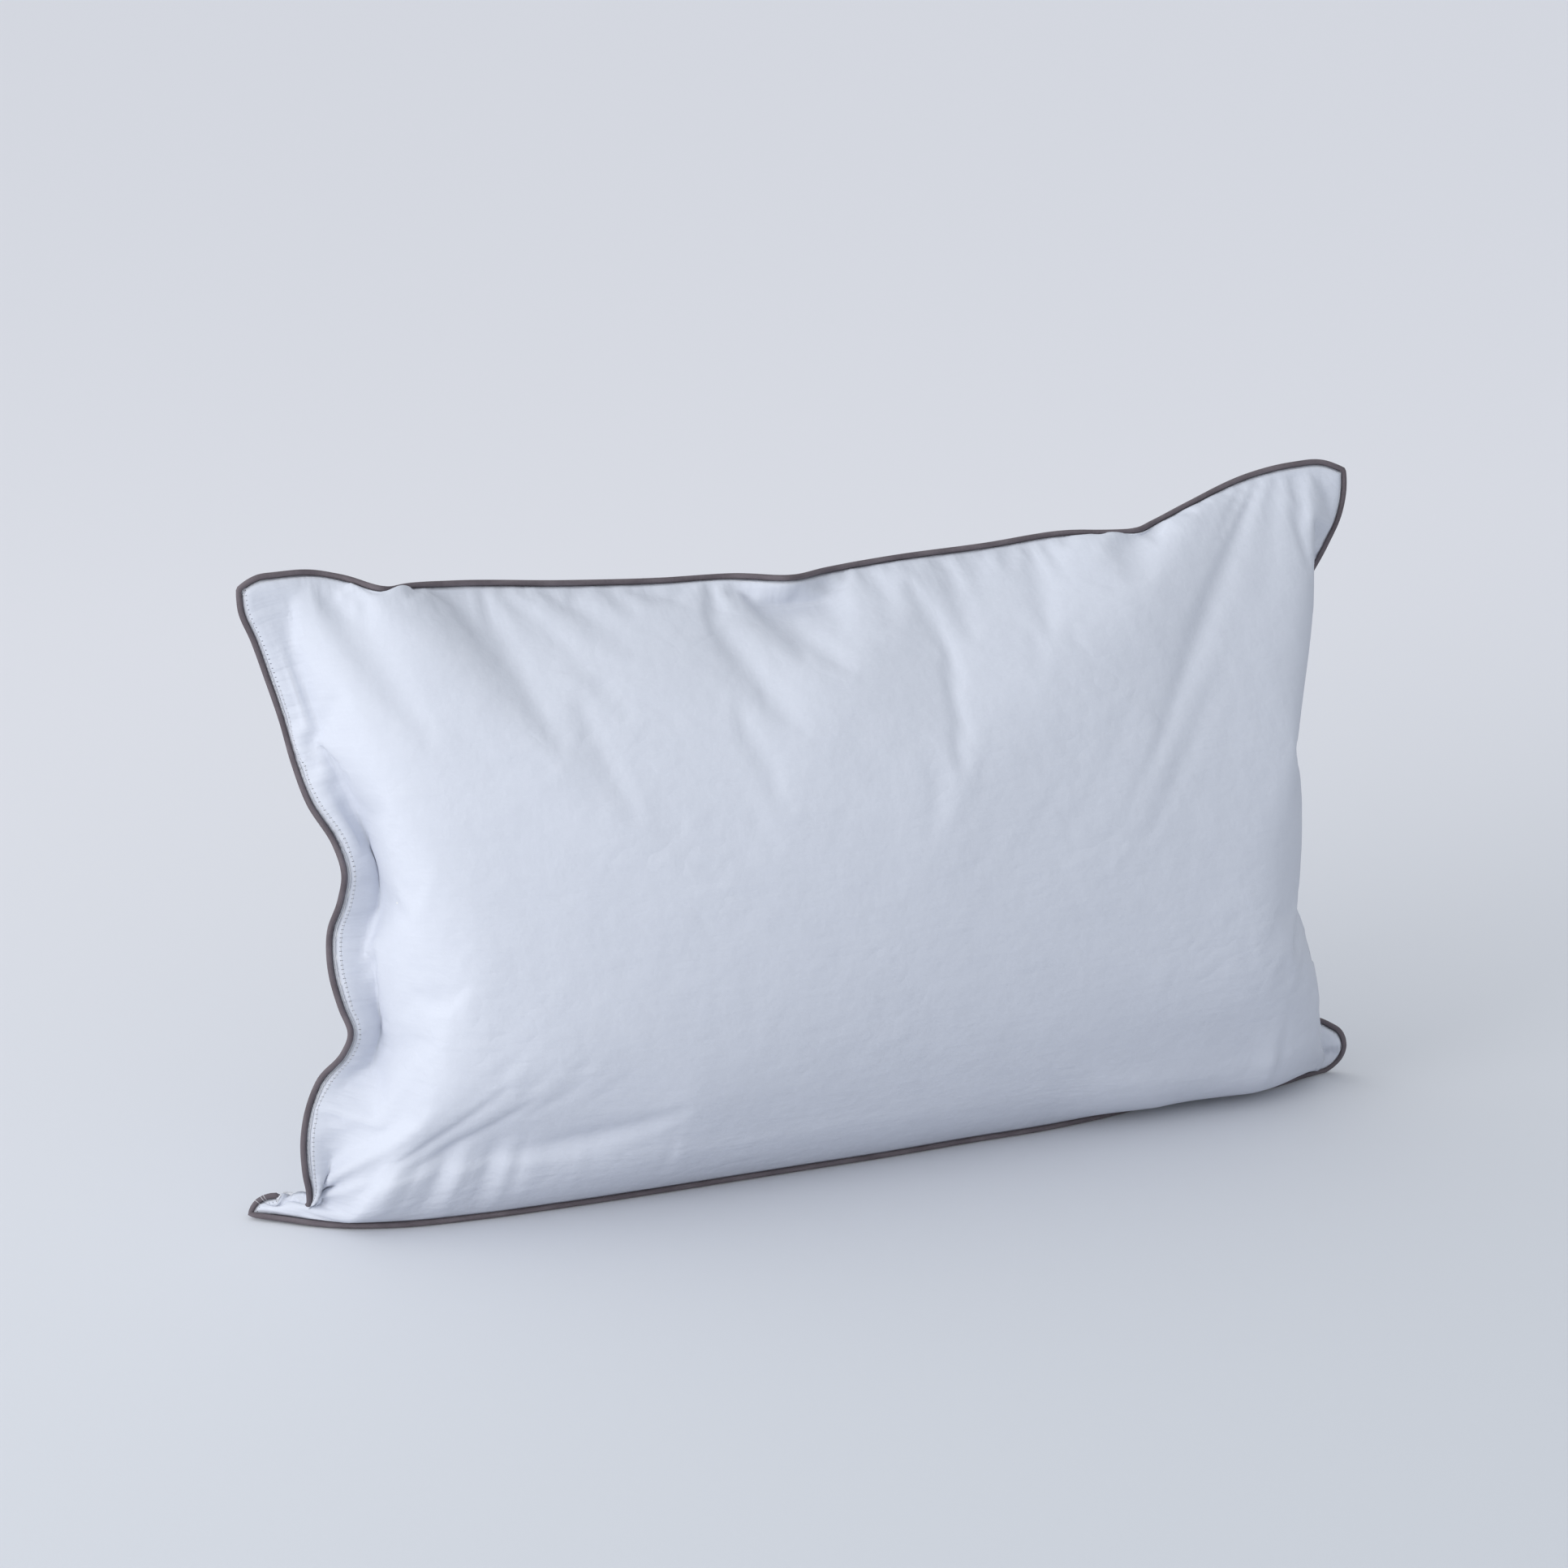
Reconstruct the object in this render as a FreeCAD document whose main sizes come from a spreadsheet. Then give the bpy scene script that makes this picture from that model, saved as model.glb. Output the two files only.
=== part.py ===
"""Piped bed pillow, standing on one long edge and leaning back a little.

Two panels of downproof cotton meet in a piped seam round all four sides, and hold a filling of
feather and down.  Three sides are sewn from inside; the -X end is closed from outside, once filled.
Frame: +X along the pillow, +Y towards its back, +Z up; the origin is on the floor, in the middle.

All but the floor is drawn in the seam plane, an XZ plane that leans back about the X axis.  Its own
origin is half way up the ends.  A depth is a distance in front of the seam plane, towards -Y.
"""
import FreeCAD
import Part
import Sketcher
import math
import os

from FreeCAD import Placement, Rotation, Vector

# Driving dimensions, in millimetres and degrees: alias, value, what it is.
DIMENSIONS = [
    ("seam_half_length", 316.0, "centre to the end seam, half way up"),
    ("seam_below", 205.0, "seam-plane origin down to the bottom seam"),
    ("seam_above", 178.0, "seam-plane origin up to the top seam, at mid length"),
    ("end_bow", 61.0, "how far an end seam pulls in between its two corners"),
    ("top_bow", 33.0, "how far the top seam pulls in between its two corners"),
    ("corner_radius", 14.0, "radius of the seam line at each corner"),
    ("front_loft", 98.0, "depth of the front panel's crown from the seam plane"),
    ("back_loft", 118.0, "depth of the back panel's crown from the seam plane"),
    ("crown_half_length", 165.0, "centre to the end of the crown's flat"),
    ("crown_above", 36.0, "seam-plane origin up to the top of the crown's flat"),
    ("crown_below", 66.0, "seam-plane origin down to the bottom of the crown's flat"),
    ("crown_corner", 30.0, "corner radius of the crown's flat"),
    ("front_sag", 16.0, "how far the front panel hangs down over its bottom seam"),
    ("back_sag", 100.0, "how far the back panel would hang down if the floor did not stop it"),
    ("lean", 6.5, "angle of the seam plane from the vertical"),
    ("ticking", 0.5, "thickness of the cotton panels"),
    ("allowance", 10.0, "seam allowance turned inside, all round"),
    ("piping_diameter", 4.4, "outer diameter of the piping"),
    ("cover_cloth", 0.35, "thickness of the piping's bias strip"),
    ("cord_gap", 0.1, "gap between the filler cord and the strip round it"),
    ("thread", 0.3, "diameter of the sewing thread"),
    ("thread_gap", 0.05, "gap between a thread and the cloth it lies on"),
    ("seam_inset", 1.6, "main seam's distance inside the piping"),
    ("piping_inset", 0.8, "distance inside the piping of the row that closes its strip"),
    ("closing_depth", 3.2, "closing row's distance from the seam plane, over each panel"),
    ("closing_gap", 0.4, "closing row's clearance over the panel, in the seam plane"),
    ("closing_half_length", 178.0, "half the length of the closing row"),
    ("tack_pitch", 6.0, "distance between the hand stitches that tack the piping's join"),
    ("tack_wrap", 230.0, "part of a turn that each hand stitch makes round the piping"),
    ("overlock_width", 3.0, "width of the overlocked edge"),
    ("overlock_build", 0.4, "thickness of thread laid over the raw edges"),
    ("fill_gap", 0.4, "gap between the filling and the cloth or thread round it"),
    ("floor_size", 1000.0, "side of the block that stands for the floor"),
]
ANGLES = (0, 5, 15, 25, 35, 45, 55, 65, 75, 90)  # lofted steps of a panel, from seam to crown
SLOPE = 0.5  # shape of a panel's edge: 0 leaves the seam squarely, 1 rises in an even slope
STEEP = 1.5  # an inner face's distance in the seam plane, for a distance of 1 square to the cloth
TACKS = 4  # hand stitches at the piping's join
TACKED_CORNER = 225.0  # degrees, from +X to the lower -X corner
FLATTEST = 0.02  # share of the bow that is left round the crown's flat

doc = FreeCAD.newDocument("bed_pillow")
sheet = doc.addObject("Spreadsheet::Sheet", "dims")
for row, (alias, value, note) in enumerate(DIMENSIONS, start=1):
    sheet.set(f"A{row}", alias)
    sheet.set(f"B{row}", str(value))
    sheet.set(f"C{row}", note)
    sheet.setAlias(f"B{row}", alias)
doc.recompute()


class Size:
    """A length that is both a number, for placing geometry, and the expression that drives it."""

    def __init__(self, value, text):
        self.value, self.text = value, text

    def combine(self, other, sign, value_of):
        other = other if isinstance(other, Size) else Size(float(other), repr(float(other)))
        return Size(value_of(self.value, other.value), f"({self.text} {sign} {other.text})")

    def __add__(self, other):
        return self.combine(other, "+", lambda a, b: a + b)

    def __sub__(self, other):
        return self.combine(other, "-", lambda a, b: a - b)

    def __mul__(self, other):
        return self.combine(other, "*", lambda a, b: a * b)

    def __truediv__(self, other):
        return self.combine(other, "/", lambda a, b: a / b)


def dim(alias):
    return Size(float(sheet.get(alias)), f"dims.{alias}")


def bind(target, path, size):
    target.setExpression(path, size.text)


NONE = dim("ticking") * 0
piping_radius = dim("piping_diameter") / 2
thread_radius = dim("thread") / 2
flange_half = dim("cover_cloth")  # the strip's two layers lie in the seam, one each side of its plane
row_room = dim("thread") + dim("thread_gap") * 2  # the piping's own row lies between strip and panel
panel_start = flange_half + row_room
seam_stack = panel_start + dim("ticking")  # depth of the seam's inner face, each side
lean_cos = math.cos(math.radians(dim("lean").value))
lean_sin = math.sin(math.radians(dim("lean").value))
# the seam plane's origin stands where the bottom piping rests on the floor, and the crowns are as
# far in front of the part's origin as behind it
origin_height = (dim("seam_below") + piping_radius) * lean_cos + piping_radius
origin_back = (dim("front_loft") - dim("back_loft")) * (lean_cos / 2)
origin_back = origin_back + (dim("crown_below") - dim("crown_above")) * (lean_sin / 2)


class Contour:
    """One closed line in the seam plane: a straight bottom, bowed top and ends, round corners."""

    def __init__(self, half_length, above, below, corner, bow_share):
        span_x = dim("seam_half_length") + dim("end_bow")
        span_z = dim("seam_below")
        self.top_radius = span_x * span_x / (dim("top_bow") * 2 * bow_share)
        self.end_radius = span_z * span_z / (dim("end_bow") * 2 * bow_share)
        self.top_centre = above + self.top_radius
        self.end_centre = half_length + self.end_radius
        self.bottom = below
        self.corner = corner

    def offset(self, out):
        """The same line moved outwards by a size, or inwards where it is negative."""
        moved = Contour.__new__(Contour)
        moved.top_radius, moved.end_radius = self.top_radius - out, self.end_radius - out
        moved.top_centre, moved.end_centre = self.top_centre, self.end_centre
        moved.bottom, moved.corner = self.bottom + out, self.corner + out
        return moved

    def corners(self):
        """Centres of the lower and upper round on the +X side, as (x, z)."""
        r, end_r, top_r = self.corner.value, self.end_radius.value, self.top_radius.value
        end_x, top_z, low_z = self.end_centre.value, self.top_centre.value, r - self.bottom.value
        low_x = end_x - math.sqrt((end_r + r) ** 2 - low_z**2)
        # the upper round touches the end arc, centred (end_x, 0), and the top arc, centred (0, top_z)
        apart = math.hypot(end_x, top_z)
        along = ((end_r + r) ** 2 - (top_r + r) ** 2 + apart**2) / (2 * apart)
        across = math.sqrt((end_r + r) ** 2 - along**2)
        ux, uz = -end_x / apart, top_z / apart
        return (low_x, low_z), (end_x + along * ux - across * uz, along * uz + across * ux)


def seam_line():
    return Contour(dim("seam_half_length"), dim("seam_above"), dim("seam_below"),
                   dim("corner_radius"), 1.0)


def blend(seam_size, crown_size, share):
    return seam_size * (1 - share) + crown_size * share


class Panel:
    """Outer form of one panel: its side of the seam plane (1 in front, -1 behind), loft and sag."""

    def __init__(self, name, side):
        self.name, self.side = name, side
        self.loft, self.sag = dim(f"{name}_loft"), dim(f"{name}_sag")

    def share(self, angle):
        """Share of the way in from the seam to the crown's flat, at an angle of the profile."""
        return (1 - SLOPE) * (1 - math.cos(math.radians(angle))) + SLOPE * angle / 90

    def section(self, angle, inside):
        """Contour and depth at one angle, on a face that lies inside the outer one by a size."""
        share = self.share(angle)
        inset = inside * STEEP
        droop = self.sag * math.sin(math.radians(2 * angle)) ** 2
        contour = Contour(
            blend(dim("seam_half_length"), dim("crown_half_length"), share) - inset,
            blend(dim("seam_above"), dim("crown_above"), share) - inset,
            blend(dim("seam_below"), dim("crown_below"), share) - inset + droop,
            blend(dim("corner_radius"), dim("crown_corner"), share),
            1 - (1 - FLATTEST) * share,
        )
        start = panel_start + inside
        return contour, start + (self.loft - inside - start) * math.sin(math.radians(angle))

    def end_inset(self, depth):
        """How far inside the end seam the outer face is, at a small depth."""
        rise = (depth.value - panel_start.value) / (self.loft.value - panel_start.value)
        share = self.share(math.degrees(math.asin(rise)))
        return (dim("seam_half_length") - dim("crown_half_length")) * share


def arc(centre, radius, start, end):
    """Arc for a sketch, anticlockwise from the direction of one point to that of another."""
    a = math.atan2(start[1] - centre[1], start[0] - centre[0])
    b = math.atan2(end[1] - centre[1], end[0] - centre[0])
    circle = Part.Circle(Vector(*centre, 0), Vector(0, 0, 1), radius)
    return Part.ArcOfCircle(circle, a, b if b > a else b + 2 * math.pi)


def new_sketch(body, name, plane="XZ_Plane", depth=NONE):
    """Sketch on one of the body's own planes, moved along its normal by a size."""
    sketch = body.newObject("Sketcher::SketchObject", f"{body.Name}_{name}")
    origin_plane = next(f for f in body.Origin.OriginFeatures if f.Role == plane)
    sketch.AttachmentSupport = [(origin_plane, "")]
    sketch.MapMode = "FlatFace"
    sketch.AttachmentOffset = Placement(Vector(0, 0, depth.value), Rotation())
    bind(sketch, "AttachmentOffset.Base.z", depth)
    return sketch


def constrain(sketch, *terms, size=None):
    """Adds a constraint; with a size it is a driven one, tied to the spreadsheet."""
    if size is None:
        sketch.addConstraint(Sketcher.Constraint(*terms))
    else:
        index = sketch.addConstraint(Sketcher.Constraint(*terms, size.value))
        bind(sketch, f"Constraints[{index}]", size)


def toward(origin, centre, reach):
    """Point at a distance from origin in the direction of centre."""
    length = math.hypot(centre[0] - origin[0], centre[1] - origin[1])
    return tuple(o + (c - o) * reach / length for o, c in zip(origin, centre))


def flip(point):
    return (-point[0], point[1])


def draw_contour(sketch, contour):
    """Adds the contour's nine edges, starting half way along the bottom, and drives them."""
    low, high = contour.corners()
    end, end_r = (contour.end_centre.value, 0.0), contour.end_radius.value
    top, top_r = (0.0, contour.top_centre.value), contour.top_radius.value
    r, bottom = contour.corner.value, -contour.bottom.value
    low_end, high_end = toward(end, low, end_r), toward(end, high, end_r)
    high_top = toward(top, high, top_r)
    first = sketch.GeometryCount
    edges = [
        Part.LineSegment(Vector(0, bottom, 0), Vector(low[0], bottom, 0)),
        arc(low, r, (low[0], bottom), low_end),
        arc(end, end_r, high_end, low_end),
        arc(high, r, high_end, high_top),
        arc(top, top_r, flip(high_top), high_top),
        arc(flip(high), r, flip(high_top), flip(high_end)),
        arc(flip(end), end_r, flip(low_end), flip(high_end)),
        arc(flip(low), r, flip(low_end), (-low[0], bottom)),
        Part.LineSegment(Vector(-low[0], bottom, 0), Vector(0, bottom, 0)),
    ]
    for edge in edges:
        sketch.addGeometry(edge, False)
    right, low_r, end_r_arc, high_r, top_arc, high_l, end_l_arc, low_l, left = range(first, first + 9)
    joins = [
        (right, 2, low_r, 1), (low_r, 2, end_r_arc, 2), (end_r_arc, 1, high_r, 1),
        (high_r, 2, top_arc, 2), (top_arc, 1, high_l, 1), (high_l, 2, end_l_arc, 2),
        (end_l_arc, 1, low_l, 1), (low_l, 2, left, 1),
    ]
    for join in joins:
        constrain(sketch, "Tangent", *join)
    constrain(sketch, "Coincident", left, 2, right, 1)
    constrain(sketch, "Horizontal", right)
    constrain(sketch, "PointOnObject", right, 1, -2)
    constrain(sketch, "PointOnObject", top_arc, 3, -2)
    constrain(sketch, "PointOnObject", end_r_arc, 3, -1)
    constrain(sketch, "PointOnObject", end_l_arc, 3, -1)
    constrain(sketch, "DistanceY", right, 1, -1, 1, size=contour.bottom)
    constrain(sketch, "DistanceY", -1, 1, top_arc, 3, size=contour.top_centre)
    constrain(sketch, "DistanceX", -1, 1, end_r_arc, 3, size=contour.end_centre)
    constrain(sketch, "DistanceX", end_l_arc, 3, -1, 1, size=contour.end_centre)
    constrain(sketch, "Radius", top_arc, size=contour.top_radius)
    for index in (end_r_arc, end_l_arc):
        constrain(sketch, "Radius", index, size=contour.end_radius)
    for index in (low_r, high_r, high_l, low_l):
        constrain(sketch, "Radius", index, size=contour.corner)


def new_body(name):
    """PartDesign body that leans back about the seam plane's origin."""
    body = doc.addObject("PartDesign::Body", name)
    body.Label = name
    origin = Vector(0, origin_back.value, origin_height.value)
    body.Placement = Placement(origin, Rotation(Vector(1, 0, 0), -dim("lean").value))
    bind(body, "Placement.Rotation.Angle", NONE - dim("lean"))
    bind(body, "Placement.Base.y", origin_back)
    bind(body, "Placement.Base.z", origin_height)
    return body


def add_dome(body, panel, inside):
    """Loft from the seam out to the crown of a panel."""
    sketches = []
    for angle in ANGLES:
        contour, depth = panel.section(angle, inside)
        sketches.append(new_sketch(body, f"{panel.name}_{angle}", depth=depth * panel.side))
        draw_contour(sketches[-1], contour)
    doc.recompute()
    loft = body.newObject("PartDesign::AdditiveLoft", f"{body.Name}_{panel.name}")
    loft.Profile = sketches[0]
    loft.Sections = sketches[1:]
    loft.Ruled = True


def add_slab(body, name, contours, thickness):
    """Pad of the area between contours, as thick each side of the seam plane."""
    sketch = new_sketch(body, f"{name}_outline")
    for contour in contours:
        draw_contour(sketch, contour)
    pad = body.newObject("PartDesign::Pad", f"{body.Name}_{name}")
    pad.Profile = sketch
    pad.Midplane = True
    pad.Length = thickness.value * 2
    bind(pad, "Length", thickness * 2)


def add_run(body, name, contour, radius, depth=NONE, cut=False):
    """Round cord swept all round a contour at a depth, added to the body or cut from it."""
    path = new_sketch(body, f"{name}_path", depth=depth)
    draw_contour(path, contour)
    profile = new_sketch(body, f"{name}_profile", plane="YZ_Plane")
    centre = Vector(-depth.value, -contour.bottom.value, 0)
    circle = profile.addGeometry(Part.Circle(centre, Vector(0, 0, 1), radius.value), False)
    constrain(profile, "Radius", circle, size=radius)
    constrain(profile, "DistanceY", circle, 3, -1, 1, size=contour.bottom)
    if depth.value == 0:
        constrain(profile, "PointOnObject", circle, 3, -2)
    elif depth.value > 0:
        constrain(profile, "DistanceX", circle, 3, -1, 1, size=depth)
    else:
        constrain(profile, "DistanceX", -1, 1, circle, 3, size=NONE - depth)
    doc.recompute()
    kind = "PartDesign::SubtractivePipe" if cut else "PartDesign::AdditivePipe"
    pipe = body.newObject(kind, f"{body.Name}_{name}")
    pipe.Profile = profile
    pipe.Spine = (path, [])
    pipe.Mode = "Frenet"


def floor_block(name, top):
    """Block whose top face is the floor, or a size above it."""
    block = doc.addObject("Part::Box", name)
    bind(block, "Length", dim("floor_size"))
    bind(block, "Width", dim("floor_size"))
    bind(block, "Height", dim("floor_size"))
    bind(block, "Placement.Base.x", NONE - dim("floor_size") / 2)
    bind(block, "Placement.Base.y", NONE - dim("floor_size") / 2)
    bind(block, "Placement.Base.z", top - dim("floor_size"))
    return block


def cut(name, base, tool):
    result = doc.addObject("Part::Cut", name)
    result.Label = name
    result.Base, result.Tool = base, tool
    return result


# --- Cotton panels: a dome each side of the seam plane, with the allowance turned in ------------
floor = floor_block("floor", NONE)
floor_cloth = floor_block("floor_cloth", dim("ticking"))


front, back = Panel("front", 1), Panel("back", -1)


def make_panel(panel):
    outer = new_body(f"{panel.name}_outside")
    add_dome(outer, panel, NONE)
    inner = new_body(f"{panel.name}_inside")
    add_dome(inner, panel, dim("ticking"))
    add_slab(inner, "opening", [seam_line().offset(NONE - dim("allowance"))], seam_stack)
    resting = cut(f"{panel.name}_resting", outer, floor)
    room = cut(f"{panel.name}_room", inner, floor_cloth)
    return cut(f"{panel.name}_panel", resting, room)


parts = [make_panel(front), make_panel(back)]

# --- Filling: one soft mass that passes through the ring of seam allowances ---------------------
fill_inside = dim("ticking") + dim("overlock_build") + dim("fill_gap")
mass = new_body("filling_mass")
neck = seam_line().offset(NONE - dim("allowance") - dim("overlock_build") - dim("fill_gap"))
add_slab(mass, "neck", [neck], panel_start + fill_inside)
doc.recompute()
add_dome(mass, front, fill_inside)
doc.recompute()
add_dome(mass, back, fill_inside)
parts.append(cut("filling", mass, floor_block("floor_fill", dim("ticking") + dim("fill_gap"))))

# --- Piping: a filler cord in a bias strip, whose two edges lie in the seam ----------------------
cover = new_body("piping_cover")
cord_line = seam_line().offset(piping_radius)
bore_radius = piping_radius - dim("cover_cloth")
add_slab(cover, "flange", [cord_line, seam_line().offset(NONE - dim("allowance"))], flange_half)
doc.recompute()
add_run(cover, "tube", cord_line, piping_radius)
doc.recompute()
add_run(cover, "bore", cord_line, bore_radius, cut=True)
parts.append(cover)

filler = new_body("piping_filler_cord")
add_run(filler, "cord", cord_line, bore_radius - dim("cord_gap"))
parts.append(filler)

piping_row = seam_line().offset(NONE - dim("piping_inset"))
piping_thread = new_body("piping_thread")
for name, side in (("needle", 1), ("bobbin", -1)):
    row_depth = (flange_half + thread_radius + dim("thread_gap")) * side
    add_run(piping_thread, name, piping_row, thread_radius, depth=row_depth)
    doc.recompute()
parts.append(piping_thread)

# --- Main seam: a lockstitch, with one thread on each side of the allowances ---------------------
seam_row = seam_line().offset(NONE - dim("seam_inset"))
seam_depth = seam_stack + thread_radius + dim("thread_gap")
for name, side in (("seam_needle_thread", 1), ("seam_bobbin_thread", -1)):
    thread = new_body(name)
    add_run(thread, "row", seam_row, thread_radius, depth=seam_depth * side)
    parts.append(thread)

# --- Overlocked edge: thread wrapped round the raw edges of the allowances -----------------------
raw_edge = seam_line().offset(NONE - dim("allowance"))
overlock_start = raw_edge.offset(dim("overlock_width"))
wrapped = new_body("overlock_wrapped")
add_slab(wrapped, "block", [overlock_start, raw_edge.offset(NONE - dim("overlock_build"))],
         seam_stack + dim("overlock_build"))
edges_inside = new_body("overlock_edges")
add_slab(edges_inside, "block", [seam_line(), raw_edge], seam_stack)
parts.append(cut("overlock_thread", wrapped, edges_inside))

# --- Closing rows: a lockstitch over the outside of each panel, along the -X end -----------------
def make_closing_row(name, panel):
    """Thread swept up and down the end seam's arc from half way up, where the arc is upright."""
    body = new_body(name)
    depth, side = dim("closing_depth"), panel.side
    end_line = seam_line().offset(thread_radius + dim("closing_gap") - panel.end_inset(depth))
    middle = end_line.end_centre - end_line.end_radius
    for half, sign in (("upper", 1), ("lower", -1)):
        path = new_sketch(body, f"{half}_path", depth=depth * side)
        centre, radius = (-end_line.end_centre.value, 0.0), end_line.end_radius.value
        reach = dim("closing_half_length").value
        tip = (centre[0] + math.sqrt(radius**2 - reach**2), reach * sign)
        ends = ((-middle.value, 0.0), tip)
        path.addGeometry(arc(centre, radius, *ends[::sign]), False)
        start_end, tip_end = (1, 2)[::sign]
        constrain(path, "PointOnObject", 0, 3, -1)
        constrain(path, "PointOnObject", 0, start_end, -1)
        constrain(path, "DistanceX", 0, 3, -1, 1, size=end_line.end_centre)
        constrain(path, "Radius", 0, size=end_line.end_radius)
        terms = (-1, 1, 0, tip_end) if sign > 0 else (0, tip_end, -1, 1)
        constrain(path, "DistanceY", *terms, size=dim("closing_half_length"))
        profile = new_sketch(body, f"{half}_profile", plane="XY_Plane")
        where = Vector(-middle.value, -depth.value * side, 0)
        profile.addGeometry(Part.Circle(where, Vector(0, 0, 1), thread_radius.value), False)
        constrain(profile, "Radius", 0, size=thread_radius)
        constrain(profile, "DistanceX", 0, 3, -1, 1, size=middle)
        terms = (0, 3, -1, 1) if side > 0 else (-1, 1, 0, 3)
        constrain(profile, "DistanceY", *terms, size=depth)
        doc.recompute()
        pipe = body.newObject("PartDesign::AdditivePipe", f"{name}_{half}")
        pipe.Profile = profile
        pipe.Spine = (path, [])
        doc.recompute()
    return body


parts.append(make_closing_row("closing_needle_thread", front))
parts.append(make_closing_row("closing_bobbin_thread", back))

# --- Hand tacks: thread whipped over the piping where its ends join, at the lower -X corner ------
tacks = []
(corner_x, corner_z), _ = cord_line.corners()
bend = cord_line.corner.value
for index in range(TACKS):
    along = math.radians(TACKED_CORNER) + (index - (TACKS - 1) / 2) * dim("tack_pitch").value / bend
    outward = Vector(math.cos(along), 0, math.sin(along))
    forward = Vector(0, -1, 0)
    tack = doc.addObject("Part::Torus", f"tack_{index + 1}")
    bind(tack, "Radius1", piping_radius + thread_radius + dim("thread_gap"))
    bind(tack, "Radius2", thread_radius)
    bind(tack, "Angle3", dim("tack_wrap"))
    centre = Vector(-corner_x, 0, corner_z) + outward * bend
    turned = Rotation(outward, forward, outward.cross(forward), "XZY")
    turned = turned * Rotation(Vector(0, 0, 1), -dim("tack_wrap").value / 2)
    tack.Placement = cover.Placement * Placement(centre, turned)
    tacks.append(tack)
tack_thread = doc.addObject("Part::Compound", "corner_tack_thread")
tack_thread.Label = "corner_tack_thread"
tack_thread.Links = tacks
parts.append(tack_thread)

# --- Check and write -----------------------------------------------------------------------------
doc.recompute()
for item in doc.Objects:
    if "Invalid" in item.State or "Error" in item.State:
        raise SystemExit(f"{item.Label} did not build: {item.State}")
for part in parts:
    if part.Shape.isNull() or not part.Shape.isValid() or not part.Shape.Solids:
        raise SystemExit(f"{part.Label} has no valid solid")
os.makedirs("parts", exist_ok=True)
for part in parts:
    part.Shape.exportStep(f"parts/{part.Label}.step")
    box = part.Shape.optimalBoundingBox(False)
    print(f"{part.Label:24s} {len(part.Shape.Solids)} solid(s) {part.Shape.Volume / 1000:9.2f} cm3"
          f"  x {box.XMin:.1f} to {box.XMax:.1f}  y {box.YMin:.1f} to {box.YMax:.1f}"
          f"  z {box.ZMin:.2f} to {box.ZMax:.1f}")
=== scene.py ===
# %% [markdown]
# # Piped bed pillow
# A pillow case is cut flat, sewn, turned and stuffed, and it only gets its shape from the filling.
# So the two panels are cut flat here too, joined at the seam, blown up by a cloth simulation while
# the seam goes to its place, and everything that is sewn to them follows the seam afterwards.
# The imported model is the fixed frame: its box says how big the pillow is and where it stands.

# %% Load the frame
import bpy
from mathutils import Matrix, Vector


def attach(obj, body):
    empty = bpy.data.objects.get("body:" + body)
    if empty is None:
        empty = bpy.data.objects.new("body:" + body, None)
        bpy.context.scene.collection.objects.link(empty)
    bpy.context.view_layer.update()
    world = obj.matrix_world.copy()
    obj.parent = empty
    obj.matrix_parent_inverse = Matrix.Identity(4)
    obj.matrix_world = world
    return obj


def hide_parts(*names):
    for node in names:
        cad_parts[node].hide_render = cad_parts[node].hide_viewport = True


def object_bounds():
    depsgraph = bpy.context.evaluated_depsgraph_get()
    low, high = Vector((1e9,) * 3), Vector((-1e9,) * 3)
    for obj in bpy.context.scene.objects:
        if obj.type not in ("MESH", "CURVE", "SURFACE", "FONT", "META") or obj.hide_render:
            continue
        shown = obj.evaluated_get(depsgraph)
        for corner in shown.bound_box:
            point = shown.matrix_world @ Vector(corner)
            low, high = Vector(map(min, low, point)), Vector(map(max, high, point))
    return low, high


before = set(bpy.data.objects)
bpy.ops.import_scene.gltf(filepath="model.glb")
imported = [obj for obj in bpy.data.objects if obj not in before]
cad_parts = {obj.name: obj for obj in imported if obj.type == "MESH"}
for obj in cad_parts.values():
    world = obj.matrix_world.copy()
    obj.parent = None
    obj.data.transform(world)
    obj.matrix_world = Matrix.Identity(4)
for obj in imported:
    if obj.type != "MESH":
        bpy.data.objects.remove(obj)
cad_box = [list(corner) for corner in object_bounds()]

import math

import bpy
import numpy as np
from mathutils import Vector

MM = 0.001
middle = Vector([(low + high) / 2 for low, high in zip(*cad_box)])
print("box of the frame, m:", [[round(value, 4) for value in corner] for corner in cad_box])

# %% [markdown]
# ## Camera, floor and light
# A pillow is white on white, so its form shows only in soft shade.  One large soft light stands to
# the left and in front, a weak one fills from the front, and a pale sky lights the rest.

# %% Camera
CAMERA_TURN = math.radians(20.5)  # how far the camera stands to the left of straight in front
CAMERA_TILT = math.radians(17.0)  # how far it looks down
CAMERA_DISTANCE = 2.6055
LENS = 95.6  # mm
AIM = middle + Vector((-0.034, -0.031, 0.052))
sight = Vector((math.sin(CAMERA_TURN) * math.cos(CAMERA_TILT),
                math.cos(CAMERA_TURN) * math.cos(CAMERA_TILT), -math.sin(CAMERA_TILT)))
bpy.ops.object.camera_add(location=AIM - sight * CAMERA_DISTANCE)
camera = bpy.context.object
camera.rotation_euler = sight.to_track_quat("-Z", "Y").to_euler()
camera.data.lens = LENS
bpy.context.scene.camera = camera
print("camera at", [round(value, 3) for value in camera.location])

# %% Floor
FLOOR_SIZE = 60.0  # so large that its far edge is the horizon
bpy.ops.mesh.primitive_plane_add(size=FLOOR_SIZE, location=(0, 0, 0))
floor = bpy.context.object
floor.name = "floor"
print("floor:", FLOOR_SIZE, "m square")

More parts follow.
